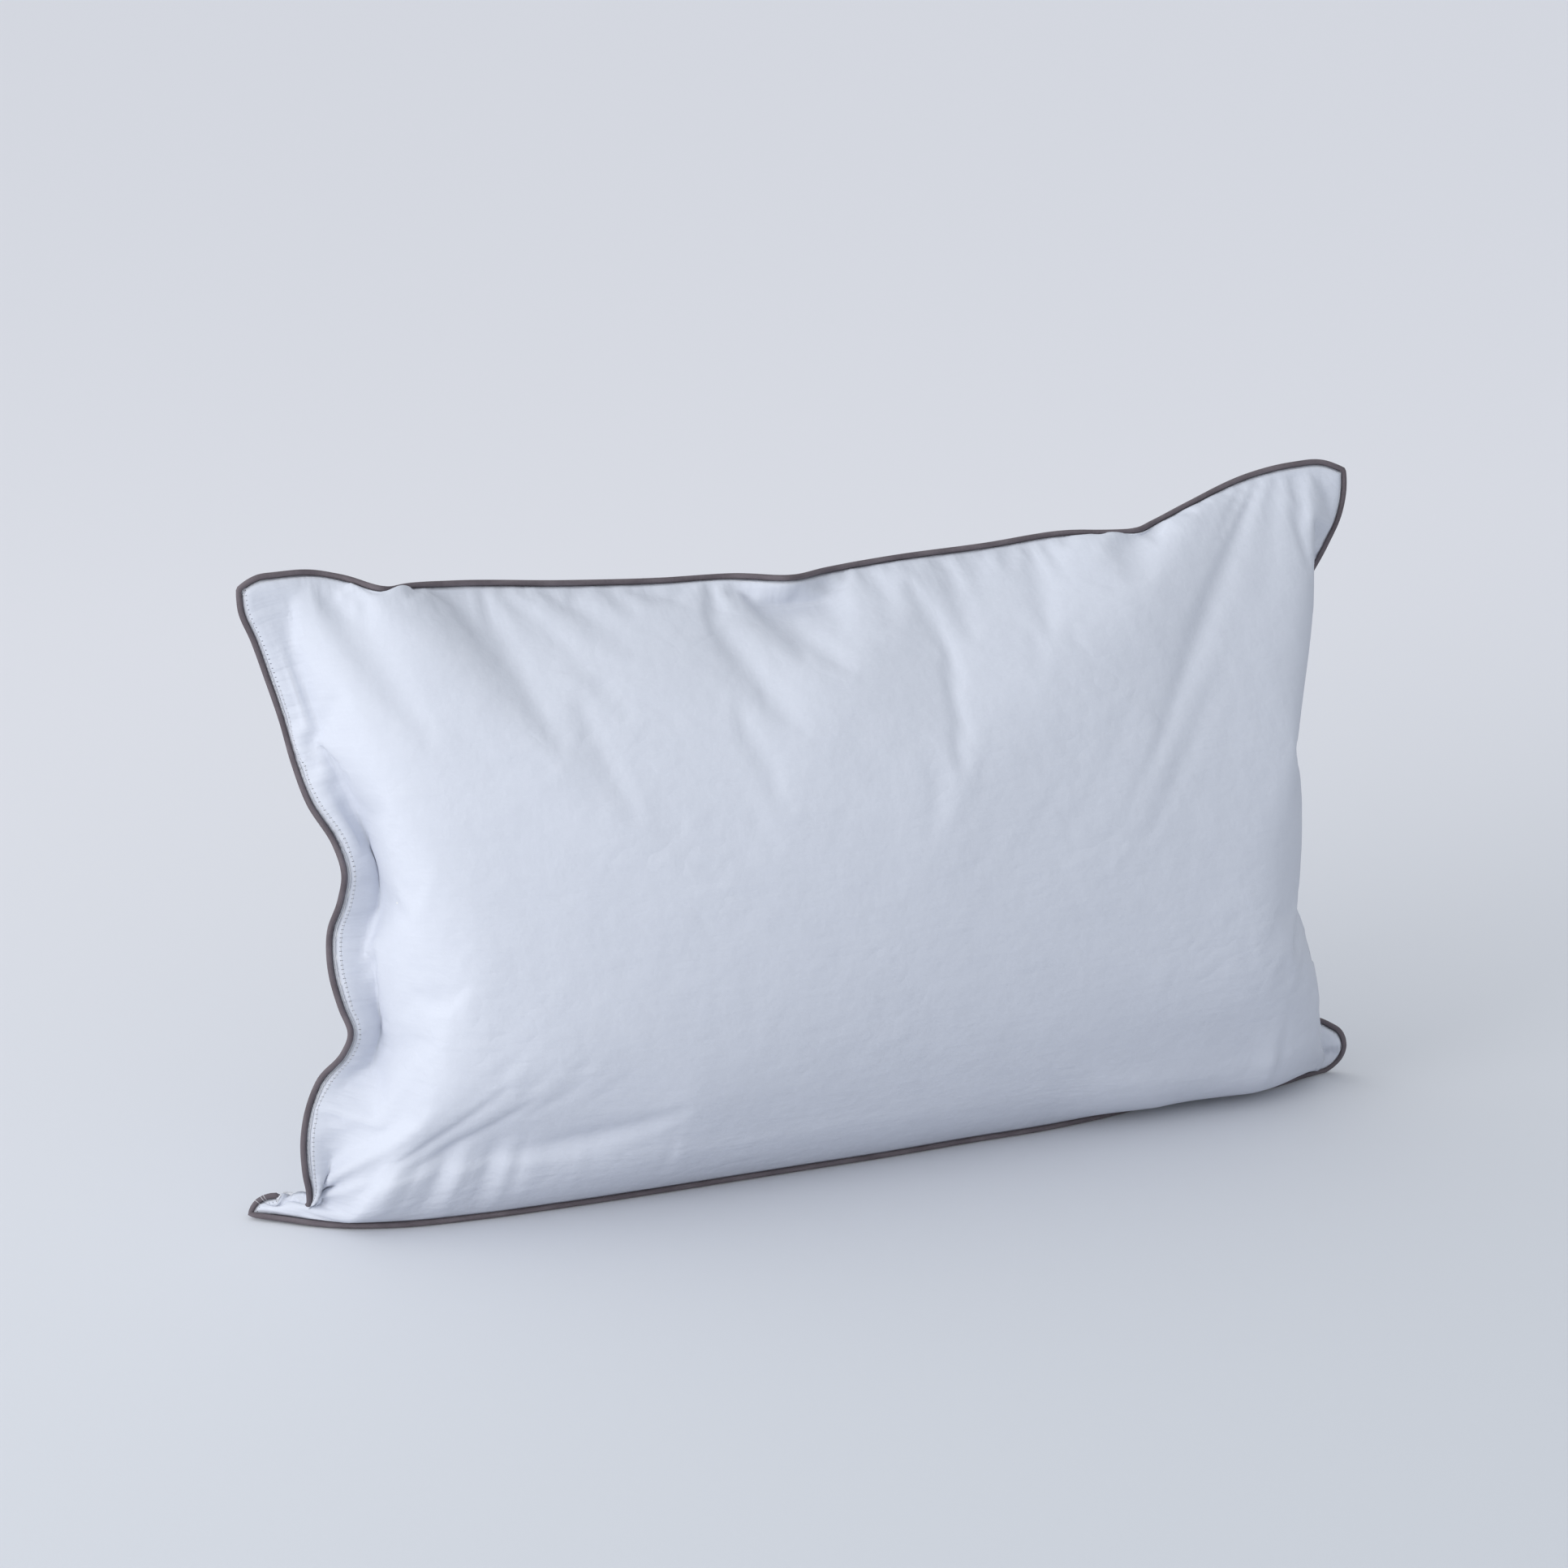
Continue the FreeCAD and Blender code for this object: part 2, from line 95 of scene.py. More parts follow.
# %% Lights
def add_light(name, place, size, watts, colour):
    """Square soft light that faces the middle of the pillow."""
    bpy.ops.object.light_add(type="AREA", location=place)
    light = bpy.context.object
    light.name = name
    light.rotation_euler = (middle - Vector(place)).to_track_quat("-Z", "Y").to_euler()
    light.data.size = size
    light.data.energy = watts
    light.data.color = colour
    return light


add_light("key_light", (-3.0, -1.3, 1.1), 1.6, 42.0, (1.0, 0.985, 0.97))
add_light("fill_light", (0.6, -3.2, 1.6), 2.5, 2.0, (0.96, 0.98, 1.0))
SKY_LEFT, SKY_RIGHT = 1.35, 0.4  # the sky's strength on both sides
SKY_COLOUR = (0.93, 0.965, 1.0, 1.0)
world = bpy.data.worlds.new("studio")
bpy.context.scene.world = world
world.use_nodes = True
sky = world.node_tree.nodes["Background"]
sky.inputs["Color"].default_value = SKY_COLOUR
direction = world.node_tree.nodes.new("ShaderNodeTexCoord")
split = world.node_tree.nodes.new("ShaderNodeSeparateXYZ")
dimmer = world.node_tree.nodes.new("ShaderNodeMapRange")
for name, value in (("From Min", -1.0), ("From Max", 1.0), ("To Min", SKY_LEFT), ("To Max", SKY_RIGHT)):
    dimmer.inputs[name].default_value = value
world.node_tree.links.new(direction.outputs["Generated"], split.inputs[0])
world.node_tree.links.new(split.outputs["X"], dimmer.inputs["Value"])
world.node_tree.links.new(dimmer.outputs["Result"], sky.inputs["Strength"])
bpy.context.scene.view_settings.view_transform = "Standard"
print("lights:", ", ".join(light.name for light in bpy.data.lights))

# %% [markdown]
# ## Where the seam lies
# The seam is one closed line with four corners.  On a stuffed pillow it bows in between the corners
# and buckles where the cloth has too much length, and the lower corners fold back on the floor.
# Each side is a short list of points from corner to corner, joined by a smooth curve.

# %% Points of the four sides, in metres
TOP_SIDE = [
    (-0.364, 0.014, 0.405), (-0.355, 0.014, 0.410), (-0.342, 0.014, 0.411), (-0.320, 0.016, 0.410),
    (-0.303, 0.015, 0.406), (-0.280, 0.000, 0.400), (-0.262, 0.010, 0.398), (-0.230, 0.014, 0.396),
    (-0.165, 0.015, 0.390), (-0.100, 0.014, 0.386), (-0.050, 0.012, 0.385), (-0.020, -0.003, 0.385),
    (0.010, 0.011, 0.384), (0.064, 0.015, 0.387), (0.120, 0.016, 0.389), (0.180, 0.014, 0.393),
    (0.206, 0.010, 0.392), (0.220, 0.004, 0.393), (0.236, 0.011, 0.395), (0.265, 0.015, 0.405),
    (0.308, 0.019, 0.419), (0.340, 0.019, 0.424), (0.362, 0.018, 0.424), (0.375, 0.016, 0.419),
]
RIGHT_SIDE = [
    (0.375, 0.016, 0.419), (0.375, 0.015, 0.408), (0.371, 0.013, 0.391), (0.362, 0.013, 0.372),
    (0.346, 0.014, 0.342), (0.334, 0.010, 0.305), (0.322, -0.004, 0.265), (0.316, -0.014, 0.238),
    (0.322, -0.006, 0.208), (0.324, -0.002, 0.178), (0.318, -0.016, 0.147), (0.314, -0.024, 0.128),
    (0.326, -0.018, 0.104), (0.338, -0.016, 0.078), (0.347, -0.004, 0.056), (0.360, 0.006, 0.042),
    (0.373, 0.002, 0.036), (0.380, -0.003, 0.031), (0.383, -0.002, 0.022),
]
BOTTOM_SIDE = [
    (0.383, -0.002, 0.022), (0.384, 0.004, 0.012), (0.378, 0.006, 0.005), (0.358, 0.002, 0.004),
    (0.340, -0.004, 0.004), (0.327, -0.008, 0.004), (0.300, -0.008, 0.004), (0.243, -0.006, 0.004),
    (0.215, -0.014, 0.004), (0.155, -0.024, 0.004), (0.095, -0.027, 0.004), (0.036, -0.031, 0.004),
    (-0.021, -0.033, 0.004), (-0.077, -0.035, 0.004), (-0.133, -0.037, 0.004), (-0.189, -0.038, 0.004),
    (-0.243, -0.037, 0.004), (-0.294, -0.031, 0.004), (-0.325, -0.020, 0.004), (-0.341, -0.010, 0.004),
    (-0.356, 0.002, 0.004), (-0.372, 0.014, 0.004),
]
LEFT_SIDE = [
    (-0.372, 0.014, 0.004), (-0.367, 0.016, 0.009), (-0.358, 0.013, 0.012), (-0.347, 0.006, 0.011),
    (-0.341, -0.004, 0.012), (-0.342, -0.018, 0.026), (-0.346, -0.026, 0.044), (-0.346, -0.024, 0.060),
    (-0.341, -0.019, 0.080), (-0.333, -0.018, 0.098), (-0.320, -0.029, 0.119), (-0.316, -0.032, 0.132),
    (-0.320, -0.026, 0.148), (-0.323, -0.016, 0.170), (-0.322, -0.013, 0.192), (-0.317, -0.021, 0.214),
    (-0.315, -0.025, 0.234), (-0.318, -0.017, 0.250), (-0.330, -0.005, 0.274), (-0.336, 0.007, 0.298),
    (-0.341, 0.011, 0.322), (-0.349, 0.012, 0.350), (-0.357, 0.013, 0.376), (-0.363, 0.014, 0.392),
    (-0.364, 0.014, 0.405),
]


CURVE_POINTS = 3000  # fine enough to measure a side's length


def smooth_side(points, count):
    """Points evenly spaced along a smooth curve through a side's points, and the curve's length."""
    points = np.array(points)
    knots = np.r_[0, np.cumsum(np.linalg.norm(np.diff(points, axis=0), axis=1))]
    slopes = np.gradient(points, knots, axis=0)
    fine = np.linspace(0, knots[-1], CURVE_POINTS)
    span = np.clip(np.searchsorted(knots, fine, side="right") - 1, 0, len(knots) - 2)
    width = (knots[span + 1] - knots[span])[:, None]
    t = (fine - knots[span])[:, None] / width
    curve = ((2 * t**3 - 3 * t**2 + 1) * points[span] + (t**3 - 2 * t**2 + t) * width * slopes[span]
             + (3 * t**2 - 2 * t**3) * points[span + 1] + (t**3 - t**2) * width * slopes[span + 1])
    along = np.r_[0, np.cumsum(np.linalg.norm(np.diff(curve, axis=0), axis=1))]
    even = np.linspace(0, along[-1], count)
    return np.stack([np.interp(even, along, curve[:, axis]) for axis in range(3)], axis=1), along[-1]


# %% [markdown]
# ## Cloth pieces
# Every piece of this pillow is a strip or a panel of something woven, so each one starts as a flat
# grid and is then laid out, square by square.  The grid keeps a map of the real distances on the
# cloth, which the weave follows.

# %% Helpers for grids
DOUBLE = 0.02 * MM  # points that are closer than this are one point


def deselect():
    """Leaves nothing selected, because operators act on all that is."""
    bpy.ops.object.select_all(action="DESELECT")


def select(*pieces):
    """Selects only these pieces, the first of them active."""
    deselect()
    for piece in pieces:
        piece.select_set(True)
    bpy.context.view_layer.objects.active = pieces[0]


def coordinates(piece):
    """Places of a piece's points."""
    places = np.empty(len(piece.data.vertices) * 3)
    piece.data.vertices.foreach_get("co", places)
    return places.reshape(-1, 3)


def place(piece, places):
    """Moves a piece's points."""
    piece.data.vertices.foreach_set("co", np.asarray(places, dtype=float).ravel())
    piece.data.update()


def cloth_piece(name, places, cloth_map):
    """Grid of squares with its points at places[column, row] and its map at cloth_map[column, row]."""
    columns, rows = places.shape[:2]
    deselect()
    bpy.ops.mesh.primitive_grid_add(x_subdivisions=columns - 1, y_subdivisions=rows - 1, size=1)
    piece = bpy.context.object
    piece.name = name
    flat = coordinates(piece)
    column = np.rint((flat[:, 0] + 0.5) * (columns - 1)).astype(int)
    row = np.rint((flat[:, 1] + 0.5) * (rows - 1)).astype(int)
    place(piece, places[column, row])
    corners = np.empty(len(piece.data.loops), dtype=int)
    piece.data.loops.foreach_get("vertex_index", corners)
    layer = piece.data.uv_layers.active
    layer.name = "cloth"
    layer.data.foreach_set("uv", cloth_map[column[corners], row[corners]].ravel())
    return piece


def edit(piece, *steps):
    """Runs edit-mode operators on everything in a piece, each with its options."""
    select(piece)
    bpy.ops.object.mode_set(mode="EDIT")
    bpy.ops.mesh.select_all(action="SELECT")
    for operator, options in steps:
        operator(**options)
    bpy.ops.object.mode_set(mode="OBJECT")


def merge_doubles(piece, outwards=False):
    """Joins points that lie on each other, and can turn the faces of a closed piece outwards."""
    steps = [(bpy.ops.mesh.remove_doubles, {"threshold": DOUBLE})]
    if outwards:
        steps.append((bpy.ops.mesh.normals_make_consistent, {"inside": False}))
    edit(piece, *steps)


def thicken(piece, thickness, offset=-1.0):
    """Gives a cloth its thickness, below its outer side (offset -1) or half each way (0)."""
    wall = piece.modifiers.new("wall", "SOLIDIFY")
    wall.thickness = thickness
    wall.offset = offset
    select(piece)
    bpy.ops.object.modifier_apply(modifier="wall")
    bpy.ops.object.shade_smooth()


def unit(vectors):
    """Vectors with length 1."""
    return vectors / np.linalg.norm(vectors, axis=-1, keepdims=True)


# %% [markdown]
# ## Cut the two panels
# Each panel is a flat rectangle of cotton, a grid of small squares that the simulation can fold.
# Both panels lie in one plane, a few millimetres apart, and share their edge, which is the seam.
# The cut is a little larger than the stuffed outline, and the seam puckers to take the difference.

# %% Cut and join the panels
CUT_LENGTH = 0.778
CUT_HEIGHT = 0.485
SQUARES_X, SQUARES_Z = ((120, 78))
SEAM_HEIGHT = 4 * MM  # the bottom seam's height over the floor
FLAT_Y = -0.010  # the flat panels start in an upright plane, half way between the seams' depths
PUFF = 4 * MM  # how far each panel is from that plane in the middle before they are filled

cut_x = np.linspace(-0.5, 0.5, SQUARES_X + 1)[:, None] * CUT_LENGTH + np.zeros(SQUARES_Z + 1)
cut_z = np.linspace(0, 1, SQUARES_Z + 1) * CUT_HEIGHT + np.zeros((SQUARES_X + 1, 1))
cut_map = np.stack([cut_x, cut_z], axis=2)
room = (1 - (2 * cut_x / CUT_LENGTH) ** 2) * (1 - (2 * cut_z / CUT_HEIGHT - 1) ** 2)
cut_front = np.stack([cut_x, FLAT_Y - PUFF * np.sqrt(room), cut_z + SEAM_HEIGHT], axis=2)
cut_back = cut_front * (1, -1, 1) + (0, 2 * FLAT_Y, 0)
case = cloth_piece("case", cut_front, cut_map)
back_cut = cloth_piece("back_cut", cut_back[::-1], cut_map[::-1])
select(case, back_cut)
bpy.ops.object.join()
merge_doubles(case)
flat_places = coordinates(case)


def numbers_on_grid(side):
    """Number of the case's point at each column and row of the front (side -1) or the back (1)."""
    here = np.flatnonzero((flat_places[:, 1] - FLAT_Y) * side > -DOUBLE)
    column = np.rint((flat_places[here, 0] / CUT_LENGTH + 0.5) * SQUARES_X).astype(int)
    row = np.rint((flat_places[here, 2] - SEAM_HEIGHT) / CUT_HEIGHT * SQUARES_Z).astype(int)
    grid = np.full((SQUARES_X + 1, SQUARES_Z + 1), -1)
    grid[column, row] = here
    return grid


def ring_of(grid):
    """Edge of a grid in order round the pillow: along the bottom, up, back along the top and down."""
    return np.concatenate([grid[:-1, 0], grid[-1, :-1], grid[:0:-1, -1], grid[0, :0:-1]])


front_numbers, back_numbers = numbers_on_grid(-1), numbers_on_grid(1)
seam_numbers = ring_of(front_numbers)
assert (seam_numbers == ring_of(back_numbers)).all() and (seam_numbers >= 0).all()
print("case:", len(flat_places), "points, of which", len(seam_numbers), "are on the seam")

# %% Where each point of the seam goes
sides = [smooth_side(points[::-1], squares + 1) for points, squares in (
    (BOTTOM_SIDE, SQUARES_X), (RIGHT_SIDE, SQUARES_Z), (TOP_SIDE, SQUARES_X), (LEFT_SIDE, SQUARES_Z))]
sewn_places = flat_places.copy()
sewn_places[seam_numbers] = np.concatenate([line[:-1] for line, _ in sides])
print("seam, m: bottom %.3f, right %.3f, top %.3f, left %.3f" % tuple(length for _, length in sides))

# %% [markdown]
# ## Fill the case
# The cloth keeps its length and bends easily, and the filling presses it outwards, most of all at
# the bottom, where it sinks.  The seam moves from the flat cut to its place during the first frames,
# and the cloth settles in the rest.  The cut is longer than its seam is apart, so folds come where
# the cloth has too much length.

# %% Fill it
MOVE_FRAMES, LAST_FRAME = 24, (64)
PRESSURE = 18.0
END_TAPER = ((0, 0.10), (0.1, 1))  # distance from an end seam, m, and share of the pressure there
TOP_TAPER = ((0, 0.09), (0.3, 1))  # distance from the top seam and share
SINKING = ((0.02, 0.10, 0.30), (1.0, 0.8, 0.45))  # height over the bottom seam and share
MASS = 0.3  # of each point, which with the stiffnesses sets how fast the cloth settles
AIR_DAMPING = 3.0
STRETCH, SHEAR, BENDING = 30.0, 5.0, 1.0  # stiffnesses
LOWEST = 0.8 * MM  # the cloth's outer side stays this far over the floor
END_PULL = 0.038  # how far the panels are drawn in beside the left end seam, which stays in view
END_PULL_REACH = 0.20
case.shape_key_add(name="flat")
sewn = case.shape_key_add(name="sewn")
sewn.data.foreach_set("co", sewn_places.ravel())
for value, frame_number in ((0.0, 1), (1.0, MOVE_FRAMES)):
    sewn.value = value
    sewn.keyframe_insert("value", frame=frame_number)
pins = case.vertex_groups.new(name="seam")
pins.add([int(number) for number in seam_numbers], 1.0, "REPLACE")
from_end = CUT_LENGTH / 2 - np.abs(flat_places[:, 0])
from_bottom = flat_places[:, 2] - SEAM_HEIGHT
weights = (np.interp(from_end, *END_TAPER) * np.interp(CUT_HEIGHT - from_bottom, *TOP_TAPER)
           * np.interp(from_bottom, *SINKING))
pushed = case.vertex_groups.new(name="pushed")
for number, weight in enumerate(weights):
    pushed.add([number], float(weight), "REPLACE")
cloth = case.modifiers.new("filling", "CLOTH")
cloth.settings.quality = 6
cloth.settings.mass = MASS
cloth.settings.air_damping = AIR_DAMPING
cloth.settings.tension_stiffness = STRETCH
cloth.settings.compression_stiffness = STRETCH
cloth.settings.shear_stiffness = SHEAR
cloth.settings.bending_stiffness = BENDING
cloth.settings.use_pressure = True
cloth.settings.uniform_pressure_force = PRESSURE
cloth.settings.vertex_group_mass = "seam"
cloth.settings.vertex_group_pressure = "pushed"
cloth.settings.effector_weights.gravity = 0.0
cloth.collision_settings.distance_min = 1.5 * MM
cloth.collision_settings.use_self_collision = False
cloth.point_cache.frame_end = LAST_FRAME
bpy.ops.mesh.primitive_plane_add(size=3, location=(0, 0, 0))
table = bpy.context.object
table.modifiers.new("stop", "COLLISION")
table.collision.thickness_outer = 0.5 * MM
for frame_number in range(1, LAST_FRAME + 1):
    bpy.context.scene.frame_set(frame_number)
settled = case.evaluated_get(bpy.context.evaluated_depsgraph_get()).to_mesh()
filled = np.empty(len(settled.vertices) * 3)
settled.vertices.foreach_get("co", filled)
filled = filled.reshape(-1, 3)
filled[:, 2] = np.maximum(filled[:, 2], LOWEST)
end_distance = np.clip(from_end / END_PULL_REACH, 0, 1)
pull = END_PULL * np.sqrt(end_distance) * (1 - end_distance) ** 2 * (flat_places[:, 0] < 0)
filled[:, 0] += pull * np.sin(math.pi * np.clip(from_bottom / CUT_HEIGHT, 0, 1))
bpy.data.objects.remove(table)
bpy.data.objects.remove(case)
bpy.context.scene.frame_set(1)
print("filled: y %.3f to %.3f" % (filled[:, 1].min(), filled[:, 1].max()))

# %% [markdown]
# ## Finish the shape of the cloth
# The simulation ran on coarse squares, so the settled panels are first made four times finer each
# way.  Then the filling sinks a little more, and the front panel bulges out over its bottom seam.
# Last, the long folds are eased, as shaking the pillow up does, while the seam stays where it is.

# %% Make the settled panels finer
def finer(places):
    """The same surface with twice as many squares along its first direction.

    Each new point lies on a smooth curve through its four nearest neighbours.
    """
    first, last = 2 * places[:1] - places[1:2], 2 * places[-1:] - places[-2:-1]
    padded = np.concatenate([first, places, last])
    halves = (9 * (padded[1:-2] + padded[2:-1]) - padded[:-3] - padded[3:]) / 16
    out = np.empty((2 * len(places) - 1, *places.shape[1:]))
    out[::2], out[1::2] = places, halves
    return out


def fine_panel(numbers):
    """A panel of the filled case, finer along both its directions."""
    places = filled[numbers]
    return finer(finer(places).swapaxes(0, 1)).swapaxes(0, 1)


front, back = fine_panel(front_numbers), fine_panel(back_numbers)
print("each panel:", front.shape[0] - 1, "by", front.shape[1] - 1, "squares")

# %% Let the filling sink
SUNK_HEIGHT = 0.13  # the bulge changes the front panel up to this height on the cloth
BULGE_RISE = ((-0.34, -0.29, 0.15, 0.23), (2, 38, 38, 0))  # places along the bottom, m, and degrees
BULGE_FULLNESS = 0.42  # how far the curve keeps its first and last direction
BULGE_BLEND = ((0.55, 1), (1, 0))  # part of the sunk height, and how much of the bulge is used
BULGE_ENDS = (((0.02, 0.06), (0, 1)), ((0.03, 0.09), (0, 1)))  # fade at the left and right end, m


def weigh_down(places):
    """Front panel that leaves its bottom seam forward and rises in a full curve."""
    rows = round(SUNK_HEIGHT / CUT_HEIGHT * (places.shape[1] - 1))
    start, end = places[:, :1], places[:, rows:rows + 1]
    arrive = unit(places[:, rows + 2:rows + 3] - places[:, rows - 2:rows - 1])
    rise = np.radians(np.interp(start[..., 0], *BULGE_RISE))
    leave = np.stack([0 * rise, -np.cos(rise), np.sin(rise)], axis=2)
    reach = np.linalg.norm(end - start, axis=2, keepdims=True) * BULGE_FULLNESS
    t = np.linspace(0, 1, rows + 1)[None, :, None]
    bulge = ((1 - t)**3 * start + 3 * (1 - t)**2 * t * (start + reach * leave)
             + 3 * (1 - t) * t**2 * (end - reach * arrive) + t**3 * end)
    across = np.linspace(0, CUT_LENGTH, places.shape[0])[:, None, None]
    share = (np.interp(t, *BULGE_BLEND) ** 2 * np.interp(across, *BULGE_ENDS[0])
             * np.interp(CUT_LENGTH - across, *BULGE_ENDS[1]))
    places[:, :rows + 1] += (bulge - places[:, :rows + 1]) * share
    return places


front = weigh_down(front)
print("front panel: foremost point at y %.3f m" % front[:, :, 1].min())

# %% Ease the folds
EASE_LENGTH = 22 * MM  # folds shorter than this are softened most
EASE_SHARE = 0.6
EASE_ZONE = (3 * MM, 45 * MM)  # distances from the seam where easing starts and is complete


def nearest_side(shape):
    """Number of each point's nearest side (left, right, bottom, top) and the squares to it."""
    column, row = np.indices(shape)
    squares = np.stack([column, shape[0] - 1 - column, row, shape[1] - 1 - row])
    return squares.argmin(axis=0), squares.min(axis=0)


def ease(places):
    """Panel with softer folds."""
    square = CUT_LENGTH / (places.shape[0] - 1)
    soft = places.copy()
    for _ in range(round((EASE_LENGTH / square) ** 2)):
        soft[1:-1, 1:-1] = (soft[:-2, 1:-1] + soft[2:, 1:-1] + soft[1:-1, :-2] + soft[1:-1, 2:]) / 4
    distance = nearest_side(places.shape[:2])[1] * square
    share = np.interp(distance, EASE_ZONE, (0, EASE_SHARE))
    return places + (soft - places) * share[:, :, None]


front, back = ease(front), ease(back)
print("eased over", round(EASE_LENGTH / MM), "mm")

# %% [markdown]
# ## Directions along the seam
# The piping, its threads and the seam allowances all lie along one seam, so each of its points gets
# three directions: along the seam, inward between the two panels, and up to the back panel.  Where
# the panels leave the seam in opposite directions nothing says which way is inward, so a part of
# the direction to the middle of the pillow is added everywhere.

# %% Find the directions
DIRECTION_SQUARES = 4  # a panel's direction at the seam is taken over this many squares
ALONG_ROUNDS, INWARD_ROUNDS = 4, 12  # rounds of smoothing
STRAIGHT_HALF = 0.20  # up to this far from the middle, m, the added part is straight up or down
INWARD_LEAN = 0.8


def smoothed(values, rounds):
    """Values along a closed line, each mixed with its neighbours a number of times."""
    for _ in range(rounds):
        values = (np.roll(values, 1, axis=0) + 2 * values + np.roll(values, -1, axis=0)) / 4
    return values


def well_inside(panel, squares):
    """Places that many squares in from each point of the seam."""
    columns = np.clip(np.arange(panel.shape[0]), squares, panel.shape[0] - 1 - squares)
    rows = np.clip(np.arange(panel.shape[1]), squares, panel.shape[1] - 1 - squares)
    return ring_of(panel[np.ix_(columns, rows)])


seam = ring_of(front)
back[[0, -1]], back[:, [0, -1]] = front[[0, -1]], front[:, [0, -1]]
towards_front = unit(well_inside(front, DIRECTION_SQUARES) - seam)
towards_back = unit(well_inside(back, DIRECTION_SQUARES) - seam)
along = unit(smoothed(np.roll(seam, -1, axis=0) - np.roll(seam, 1, axis=0), ALONG_ROUNDS))
heart = np.array(middle) + (seam - np.array(middle)) * (np.abs(seam) < STRAIGHT_HALF) * (1, 0, 0)
inward = smoothed(towards_front + towards_back + INWARD_LEAN * unit(heart - seam), INWARD_ROUNDS)
inward = unit(inward - (inward * along).sum(axis=1, keepdims=True) * along)
upward = np.cross(inward, along)
print("directions found at", len(seam), "points of the seam")

# %% [markdown]
# ## Room for the seam allowances
# Inside the seam lie four layers of cloth with their threads, so the panels can't close up tightly
# beside it.  Along the top a panel also stays below the piping, which stands on the fold there.

# %% Make room
SEAM_ROOM = 2.4 * MM  # half the thickness of the seam's allowances, with the cloth over them
ROOM_FADE = ((0, 3 * MM, 12 * MM, 26 * MM), (0, 1, 1, 0))  # distances from the seam and shares
ROOM_REACH = ROOM_FADE[0][-1]
TOP_FALL = 0.12  # the least that a panel falls from the top seam, as a part of the distance
TOP_REACH = 60 * MM


def on_edge(values, shape):
    """Grid with the seam's values along its edge."""
    grid = np.zeros((shape[0] * shape[1], 3))
    grid[ring_of(np.arange(len(grid)).reshape(shape))] = values
    return grid.reshape(*shape, 3)


def make_room(places, side):
    """Panel, in front (side -1) or behind (1), that leaves room for the allowances."""
    shape = places.shape[:2]
    column, row = np.indices(shape)
    nearest, squares = nearest_side(shape)
    edge = (np.choose(nearest, (0, shape[0] - 1, column, column)),
            np.choose(nearest, (row, row, 0, shape[1] - 1)))
    distance = squares * CUT_LENGTH / (shape[0] - 1)
    up, into = on_edge(upward, shape)[edge], on_edge(inward, shape)[edge]
    offset = places - on_edge(seam, shape)[edge]
    needed = SEAM_ROOM * np.interp(distance, *ROOM_FADE)
    missing = np.clip(needed - (offset * up).sum(axis=2) * side, 0, None) * (distance < ROOM_REACH)
    over = np.clip(distance * TOP_FALL - (offset * into).sum(axis=2), 0, None) * (distance < TOP_REACH)
    over = over * np.clip(-into[:, :, 2], 0, 1)
    return places + up * side * missing[:, :, None] + into * over[:, :, None]


front, back = make_room(front, -1), make_room(back, 1)
for panel in (front, back):
    panel[:, :, 2] = np.maximum(panel[:, :, 2], LOWEST)
print("depth of the pillow, m: %.3f" % (back[:, :, 1].max() - front[:, :, 1].min()))

# %% [markdown]
# ## Materials
# Every surface here is cloth or thread, so the materials are worked out from a few fine patterns.
# A small wrapper lets a node's output be added and multiplied like a number.

# %% Write shader maths like sums
class Signal:
    """One output of a node, which can be used in sums like a number."""

    def __init__(self, look, socket):
        self.look = look
        self.socket = socket

    def maths(self, operation, *values):
        return self.look.node("ShaderNodeMath", {"operation": operation}, *values)

    def __add__(self, other):
        return self.maths("ADD", self, other)

    def __sub__(self, other):
        return self.maths("SUBTRACT", self, other)

    def __rsub__(self, other):
        return self.maths("SUBTRACT", other, self)

    def __mul__(self, other):
        return self.maths("MULTIPLY", self, other)

    __radd__ = __add__
    __rmul__ = __mul__

    def wave(self, length):
        """Sine of a distance, with this wavelength."""
        return self.maths("SINE", self * (2 * math.pi / length))

    def magnitude(self):
        return self.maths("ABSOLUTE", self)

    def step(self, low, high):
        """0 up to low, 1 from high on, and smooth in between."""
        settings = {"interpolation_type": "SMOOTHSTEP"}
        return self.look.node("ShaderNodeMapRange", settings, self, low, high)


class Look:
    """A material and its nodes."""

    def __init__(self, name, roughness):
        self.material = bpy.data.materials.new(name)
        self.material.use_nodes = True
        self.tree = self.material.node_tree
        self.surface = self.tree.nodes["Principled BSDF"]
        self.surface.inputs["Roughness"].default_value = roughness
        self.surface.inputs["Specular IOR Level"].default_value = 0.2

    def node(self, kind, settings, *values, output=0):
        node = self.tree.nodes.new(kind)
        for name, value in settings.items():
            setattr(node, name, value)
        for socket, value in zip(node.inputs, values):
            if isinstance(value, Signal):
                self.tree.links.new(value.socket, socket)
            elif value is not None:
                socket.default_value = value
        return Signal(self, node.outputs[output])

    def cloth_map(self):
        """Distances along and across the cloth, in metres."""
        here = self.node("ShaderNodeUVMap", {"uv_map": "cloth"})
        return [self.node("ShaderNodeSeparateXYZ", {}, here, output=axis) for axis in (0, 1)]

    def noise(self, x, y, detail=2.0):
        """Noise from about -0.5 to 0.5 at x, y."""
        where = self.node("ShaderNodeCombineXYZ", {}, x, y, 0.0)
        return self.node("ShaderNodeTexNoise", {}, where, None, 1.0, detail, 0.55) - 0.5

    def blend(self, share, first, second):
        """Colour between two colours."""
        values = (share, None, None, None, None, None, first, second)
        return self.node("ShaderNodeMix", {"data_type": "RGBA"}, *values, output=2)

    def finish(self, colour, height):
        """Connects the colour, and a height in metres."""
        self.tree.links.new(colour.socket, self.surface.inputs["Base Color"])
        relief = self.node("ShaderNodeBump", {}, 1.0, 1.0, None, height)
        self.tree.links.new(relief.socket, self.surface.inputs["Normal"])
        return self.material


